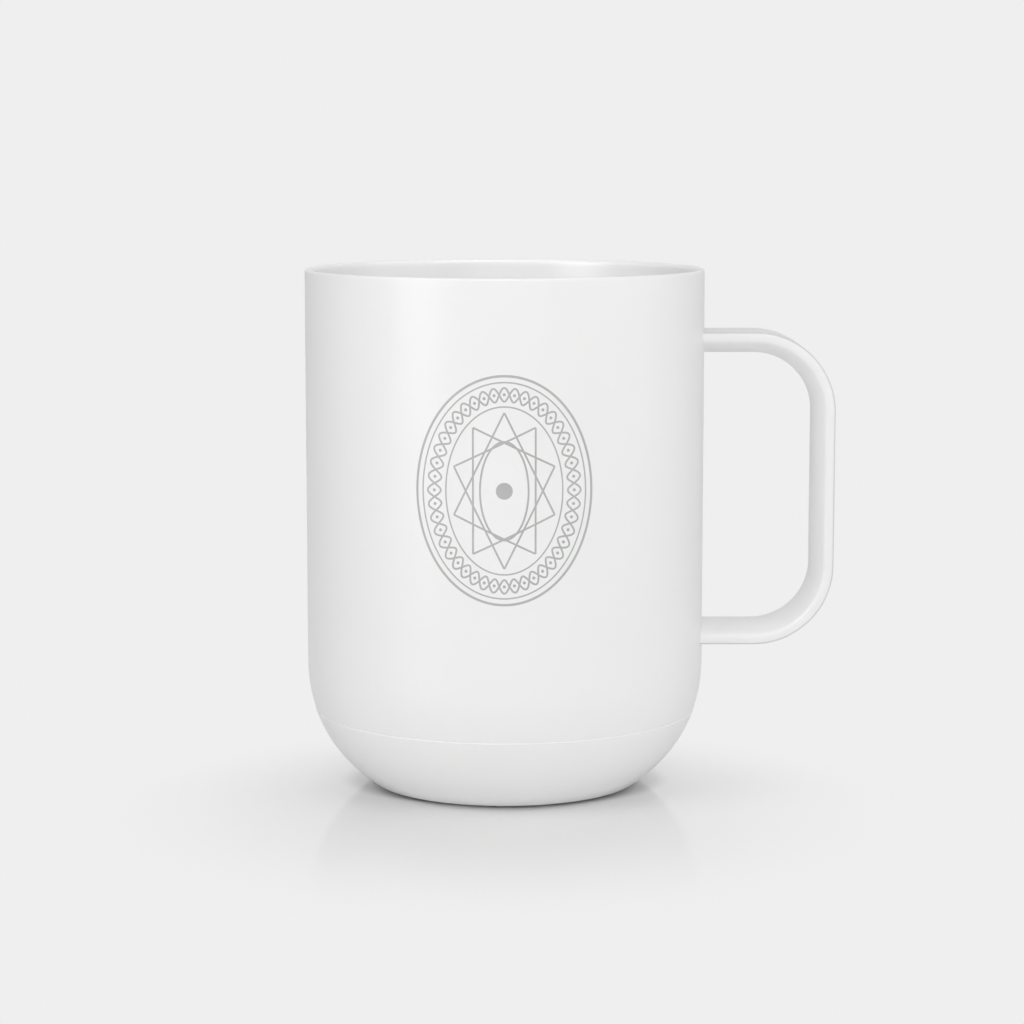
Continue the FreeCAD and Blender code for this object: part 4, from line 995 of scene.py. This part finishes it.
# One finish for each material slot, and two more: name, the two colours it drifts
# between, the drift's scale, its roughness, that one's scale, and the grain's scale and
# depth
FINISHES = {
    "white_coating": cup_material(),
    "handle_coating": strap_material(),
    "white_plastic": base_material(),
    "print_ink": finish("Pale grey ink", (0.44, 0.44, 0.44), (0.47, 0.47, 0.47), 150.0,
                        (0.42, 0.52), 220.0, 2600.0, 1.5e-6),
    "cover_plastic": finish("Spark-textured cover", (0.66, 0.66, 0.655), (0.69, 0.69, 0.685),
                            80.0, (0.55, 0.66), 150.0, 3600.0, 9e-6),
    "button_plastic": finish("Grey button plastic", (0.42, 0.42, 0.42), (0.45, 0.45, 0.45),
                             120.0, (0.34, 0.44), 250.0, 3000.0, 3e-6),
    "foot_silicone": finish("Grey foot silicone", (0.36, 0.36, 0.365), (0.40, 0.40, 0.405),
                            160.0, (0.66, 0.80), 300.0, 4200.0, 6e-6, Sheen_Weight=0.15),
    "grey_silicone": finish("Grey seal silicone", (0.20, 0.20, 0.21), (0.23, 0.23, 0.24),
                            160.0, (0.50, 0.62), 300.0, 3000.0, 4e-6),
    "clear_silicone": finish("Milky boot silicone", (0.62, 0.62, 0.60), (0.68, 0.68, 0.66),
                             200.0, (0.36, 0.46), 300.0, 2600.0, 3e-6,
                             Transmission_Weight=0.35),
    "steel": turned_metal("Turned ring steel", (0.52, 0.52, 0.52), (0.57, 0.57, 0.57),
                          (0.29, 0.38), 1.5e-6),
    "screw_steel": finish("Zinc-plated screw steel", (0.50, 0.50, 0.51), (0.58, 0.58, 0.56),
                          700.0, (0.28, 0.42), 900.0, 5000.0, 2e-6, Metallic=1.0),
    "gold_plate": turned_metal("Gold contact plating", (0.80, 0.57, 0.20),
                               (0.84, 0.62, 0.25), (0.16, 0.26), 1.0e-6),
    "nickel": finish("Rolled nickel strip", (0.60, 0.58, 0.54), (0.66, 0.64, 0.60), 260.0,
                     (0.28, 0.36), 500.0, 2600.0, 2e-6, Metallic=1.0),
    "aluminium": finish("Rolled spreader aluminium", (0.72, 0.73, 0.74), (0.77, 0.78, 0.79),
                        120.0, (0.30, 0.44), 350.0, 2400.0, 3e-6, Metallic=1.0),
    "carrier_plastic": finish("Dark carrier plastic", (0.024, 0.024, 0.026),
                              (0.032, 0.032, 0.034), 90.0, (0.42, 0.56), 160.0, 3200.0, 6e-6),
    "black_plastic": finish("Black moulding compound", (0.012, 0.012, 0.013),
                            (0.020, 0.020, 0.021), 500.0, (0.44, 0.60), 700.0, 6500.0, 5e-6),
    "connector_plastic": finish("Cream connector nylon", (0.66, 0.60, 0.48),
                                (0.70, 0.64, 0.52), 250.0, (0.34, 0.46), 400.0, 3500.0, 2e-6),
    "ferrite": finish("Pressed ferrite", (0.020, 0.020, 0.022), (0.045, 0.044, 0.046),
                      1400.0, (0.50, 0.70), 900.0, 4200.0, 1.2e-5),
    "cell_wrap": wrap_material(),
    "board_green": board_material(),
    "led_white": finish("Lamp lens", (0.80, 0.76, 0.58), (0.86, 0.83, 0.68), 900.0,
                        (0.12, 0.20), 800.0, 3000.0, 1e-6, Coat_Weight=0.3),
    "clear_plastic": finish("Clear guide acrylic", (0.90, 0.92, 0.93), (0.93, 0.95, 0.96),
                            300.0, (0.04, 0.10), 500.0, 2000.0, 5e-7,
                            Transmission_Weight=0.9),
    "amber_film": film_material(),
    "foil": finish("Etched foil", (0.42, 0.26, 0.15), (0.50, 0.32, 0.19), 400.0,
                   (0.28, 0.42), 600.0, 4000.0, 3e-6, Metallic=1.0),
    "insulation": felt_material(),
}


# Putting the pieces together

def place(piece, slot, body="mug", replaces=(), material=None):
    """Give a piece its finish and make it move with its body."""
    piece.data.materials.append(FINISHES[material or slot])
    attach(piece, body)
    if replaces:
        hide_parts(*replaces)


def dress_nodes():
    """Give every carried-over sub-part the finish of its material slot."""
    for part in frame["record"]["subparts"]:
        piece = frame["nodes"][part["node"]]
        for holder in piece.material_slots:
            holder.material = FINISHES[part["material_slot"]]


dress_nodes()
place(shell_surface(), "white_coating", replaces=["outer_shell"])
place(liner_surface(), "white_coating", replaces=["inner_liner"])
place(strap_surface(), "white_coating", replaces=["handle"], material="handle_coating")
place(medallion(), "white_coating", material="print_ink")
place(base_surface(), "white_plastic", replaces=["base_cup"])
place(foot_surface(), "foot_silicone", replaces=["foot_ring"])
place(contact_surface("contact_inner", INNER_CONTACT), "gold_plate",
      replaces=["charge_ring_inner"])
place(contact_surface("contact_outer", OUTER_CONTACT), "gold_plate",
      replaces=["charge_ring_outer"])
place(button_surface(), "button_plastic", body="button", replaces=["power_button"])


# Floor, light and camera

# Plain colour of the backdrop, of the floor near the mug, darker as painted shade, and of
# the floor far from it, and the floor's gloss
BACKDROP = 0.863
FLOOR_NEAR = 0.875
FLOOR_FAR = 0.97
FLOOR_ROUGH = 0.1
FLOOR_SHINE = 0.25

# Under the mug the table's colour is darker, a painted shadow that deepens the shade beside
# the foot: colour, where it begins to pale and is pale, in metres, and the share that widths
# count
FLOOR_PAINTED_SHADE = 0.53
UNDER_START = 0.0232
UNDER_END = 0.0276
UNDER_STRETCH = (0.806, 1.07, 1.0)

# The floor's own light and shade give way to the plain backdrop between these distances
# in metres from a point a little in front of the mug
FADE_MIDDLE = (0.0, -0.03, 0.0)
FADE_START = 0.02
FADE_END = 0.085

# The floor's first and last ring, radii in millimetres
FLOOR_FIRST = 20.0
FLOOR_LAST = 6000.0

# The far sheet: half its turn in degrees, distance and height, in millimetres
SHEET_TURN = 24.0
SHEET_REACH = 2200.0
SHEET_FOOT = 360.0
SHEET_TOP = 1800.0


def one_or_other(tree, mask, first, second):
    """One shader where the mask is 0 and another where it is 1."""
    mix = tree.nodes.new("ShaderNodeMixShader")
    tree.links.new(mask, mix.inputs["Fac"])
    tree.links.new(first, mix.inputs[1])
    tree.links.new(second, mix.inputs[2])
    return mix.outputs["Shader"]


def backdrop_glow(tree):
    """The plain backdrop's own light."""
    glow = tree.nodes.new("ShaderNodeEmission")
    glow.inputs["Color"].default_value = grey(BACKDROP)
    return glow.outputs["Emission"]


def floor_material():
    """A pale table with a faint sheen, that the camera sees fade into the backdrop; its
    colour is darker near the mug and more so under it, as painted shade.
    """
    material, tree, bsdf = new_material("Studio floor")
    nodes, links = tree.nodes, tree.links
    bsdf.inputs["Roughness"].default_value = FLOOR_ROUGH
    bsdf.inputs["Specular IOR Level"].default_value = FLOOR_SHINE
    reach = nodes.new("ShaderNodeVectorMath")
    reach.operation = "DISTANCE"
    reach.inputs[1].default_value = FADE_MIDDLE
    links.new(spot_on(tree), reach.inputs[0])
    fade = rising(tree, reach.outputs["Value"], FADE_START, FADE_END)
    # Painted shade: the table's colour is darker near the mug than far from it
    open_table = blend(tree, fade, grey(FLOOR_NEAR), grey(FLOOR_FAR), colour=True)
    # Painted shadow: the table's colour darkens under the mug
    clear = rising(tree, from_middle(tree, UNDER_STRETCH), UNDER_START, UNDER_END)
    table = blend(tree, clear, grey(FLOOR_PAINTED_SHADE), open_table, colour=True)
    links.new(table, bsdf.inputs["Base Color"])
    path = nodes.new("ShaderNodeLightPath")
    seen = worked_out(tree, "MULTIPLY", path.outputs["Is Camera Ray"], fade)
    look = one_or_other(tree, seen, bsdf.outputs["BSDF"], backdrop_glow(tree))
    links.new(look, nodes["Material Output"].inputs["Surface"])
    return material


def floor_surface():
    """A flat disc under the mug: radius grows by even ratios from the middle."""
    angle = np.linspace(0.0, 2 * math.pi, 96, endpoint=False)
    radius = np.concatenate([[0.0], np.geomspace(FLOOR_FIRST, FLOOR_LAST, 24)])
    points = np.stack([np.outer(np.cos(angle), radius), np.outer(np.sin(angle), radius),
                       np.zeros((len(angle), len(radius)))], -1)
    floor = skin("studio_floor", points, wrap=(True, False))
    if floor.data.polygons[0].normal.z < 0:
        floor.data.flip_normals()
    floor.data.materials.append(floor_material())


def backdrop_surface():
    """A pale sheet far behind the mug: part of a wide upright cylinder.

    Its shine reaches only eyes and gloss, so the floor's sheen shows it and it
    lights nothing. It starts above the table's edge, as the strap's flat top is
    darker than the floor's sheen.
    """
    angle = np.radians(np.linspace(-SHEET_TURN, SHEET_TURN, 25))
    height = np.linspace(SHEET_FOOT, SHEET_TOP, 13)
    points = np.stack(np.broadcast_arrays(SHEET_REACH * np.sin(angle)[:, None],
                                          SHEET_REACH * np.cos(angle)[:, None],
                                          height[None, :]), -1)
    sheet = skin("studio_backdrop", points, wrap=(False, False))
    material, tree = new_material("Pale backdrop")[:2]
    clear = tree.nodes.new("ShaderNodeBsdfTransparent")
    path = tree.nodes.new("ShaderNodeLightPath")
    look = one_or_other(tree, path.outputs["Is Diffuse Ray"], backdrop_glow(tree),
                        clear.outputs["BSDF"])
    tree.links.new(look, tree.nodes["Material Output"].inputs["Surface"])
    sheet.data.materials.append(material)
    sheet.visible_shadow = False


floor_surface()
backdrop_surface()

# Lamps: name, turn from the front in degrees, height angle, distance, width, height,
# power in watts, and which light it gives: the matt light of surfaces or their gloss;
# lengths are in metres
LAMPS = (
    ("left_high", -55.0, 34.0, 1.4, 1.0, 0.9, 5.65, "matt"),
    ("front", 0.0, 20.0, 1.6, 1.2, 0.8, 8.3, "matt"),
    ("right_high", 55.0, 34.0, 1.4, 1.0, 0.9, 4.0, "matt"),
    ("right_low", 55.0, 8.0, 1.3, 0.8, 0.5, 0.45, "matt"),
    ("right_side", 100.0, 15.0, 1.4, 1.0, 1.0, 3.35, "matt"),
    ("top", 0.0, 90.0, 1.4, 1.4, 1.4, 6.35, "matt"),
    ("left_strip", -49.0, 10.0, 1.3, 0.66, 1.2, 8.2, "gloss"),
    ("left_tall", -53.0, 36.0, 1.3, 0.7, 0.6, 4.6, "gloss"),
    ("left_far", -88.0, 20.0, 1.4, 1.0, 1.2, 3.1, "gloss"),
    ("front_sheen", 0.0, 22.0, 1.6, 1.4, 0.8, 1.3, "gloss"),
    ("top_sheen", 0.0, 75.0, 1.4, 1.4, 0.9, 7.0, "gloss"),
    ("right_box", 72.0, 14.0, 1.4, 1.2, 1.2, 4.2, "gloss"),
)
LAMPS_FACE = (0.0, 0.0, 0.05)

# Strength of the light from all round, on matt surfaces and in gloss
WORLD_LIGHT = 0.095
WORLD_SHEEN = 0.71

# The camera as fitted to the photograph: place in metres, tilt down in degrees, focal
# length and frame in pixels, sensor in millimetres, and how near it sees, in metres
CAMERA_PLACE = (0.001452, -0.58437, 0.13337)
CAMERA_TILT = 7.628
CAMERA_FOCUS = 2910.8
FRAME = 1024
SENSOR = 36.0
NEAREST = 0.01


def soft_lamps():
    """Area lamps that face the middle of the mug; the camera doesn't see them."""
    middle = Vector(LAMPS_FACE)
    for name, turn, rise, distance, width, height, power, reaches in LAMPS:
        across, up = math.radians(turn), math.radians(rise)
        out = Vector((math.sin(across) * math.cos(up), -math.cos(across) * math.cos(up),
                      math.sin(up)))
        lamp = bpy.data.lights.new(name, "AREA")
        lamp.shape = "RECTANGLE"
        lamp.size, lamp.size_y = width, height
        lamp.energy = power
        piece = bpy.data.objects.new(name, lamp)
        piece.location = middle + out * distance
        piece.rotation_euler = (-out).to_track_quat("-Z", "Y").to_euler()
        piece.visible_camera = False
        piece.visible_glossy = reaches == "gloss"
        piece.visible_diffuse = reaches == "matt"
        bpy.context.scene.collection.objects.link(piece)


def surroundings():
    """Even light from all round, of its own strength in gloss; the camera and glass see
    the pale backdrop.
    """
    world = bpy.data.worlds.new("Studio")
    world.use_nodes = True
    tree = world.node_tree
    light = tree.nodes["Background"]
    light.inputs["Color"].default_value = grey(1.0)
    path = tree.nodes.new("ShaderNodeLightPath")
    strength = blend(tree, path.outputs["Is Glossy Ray"], WORLD_LIGHT, WORLD_SHEEN)
    tree.links.new(strength, light.inputs["Strength"])
    backdrop = tree.nodes.new("ShaderNodeBackground")
    backdrop.inputs["Color"].default_value = grey(BACKDROP)
    seen = worked_out(tree, "MAXIMUM", path.outputs["Is Camera Ray"],
                      path.outputs["Is Transmission Ray"])
    look = one_or_other(tree, seen, light.outputs["Background"],
                        backdrop.outputs["Background"])
    tree.links.new(look, tree.nodes["World Output"].inputs["Surface"])
    bpy.context.scene.world = world


def camera():
    """A long lens a little above the rim, tilted down, as the photograph was taken."""
    lens = bpy.data.cameras.new("camera")
    lens.sensor_width = SENSOR
    lens.lens = SENSOR * CAMERA_FOCUS / FRAME
    lens.clip_start = NEAREST
    piece = bpy.data.objects.new("camera", lens)
    piece.location = CAMERA_PLACE
    piece.rotation_euler = (math.radians(90.0 - CAMERA_TILT), 0.0, 0.0)
    bpy.context.scene.collection.objects.link(piece)
    bpy.context.scene.camera = piece


soft_lamps()
surroundings()
camera()
bpy.context.scene.view_settings.view_transform = "Standard"
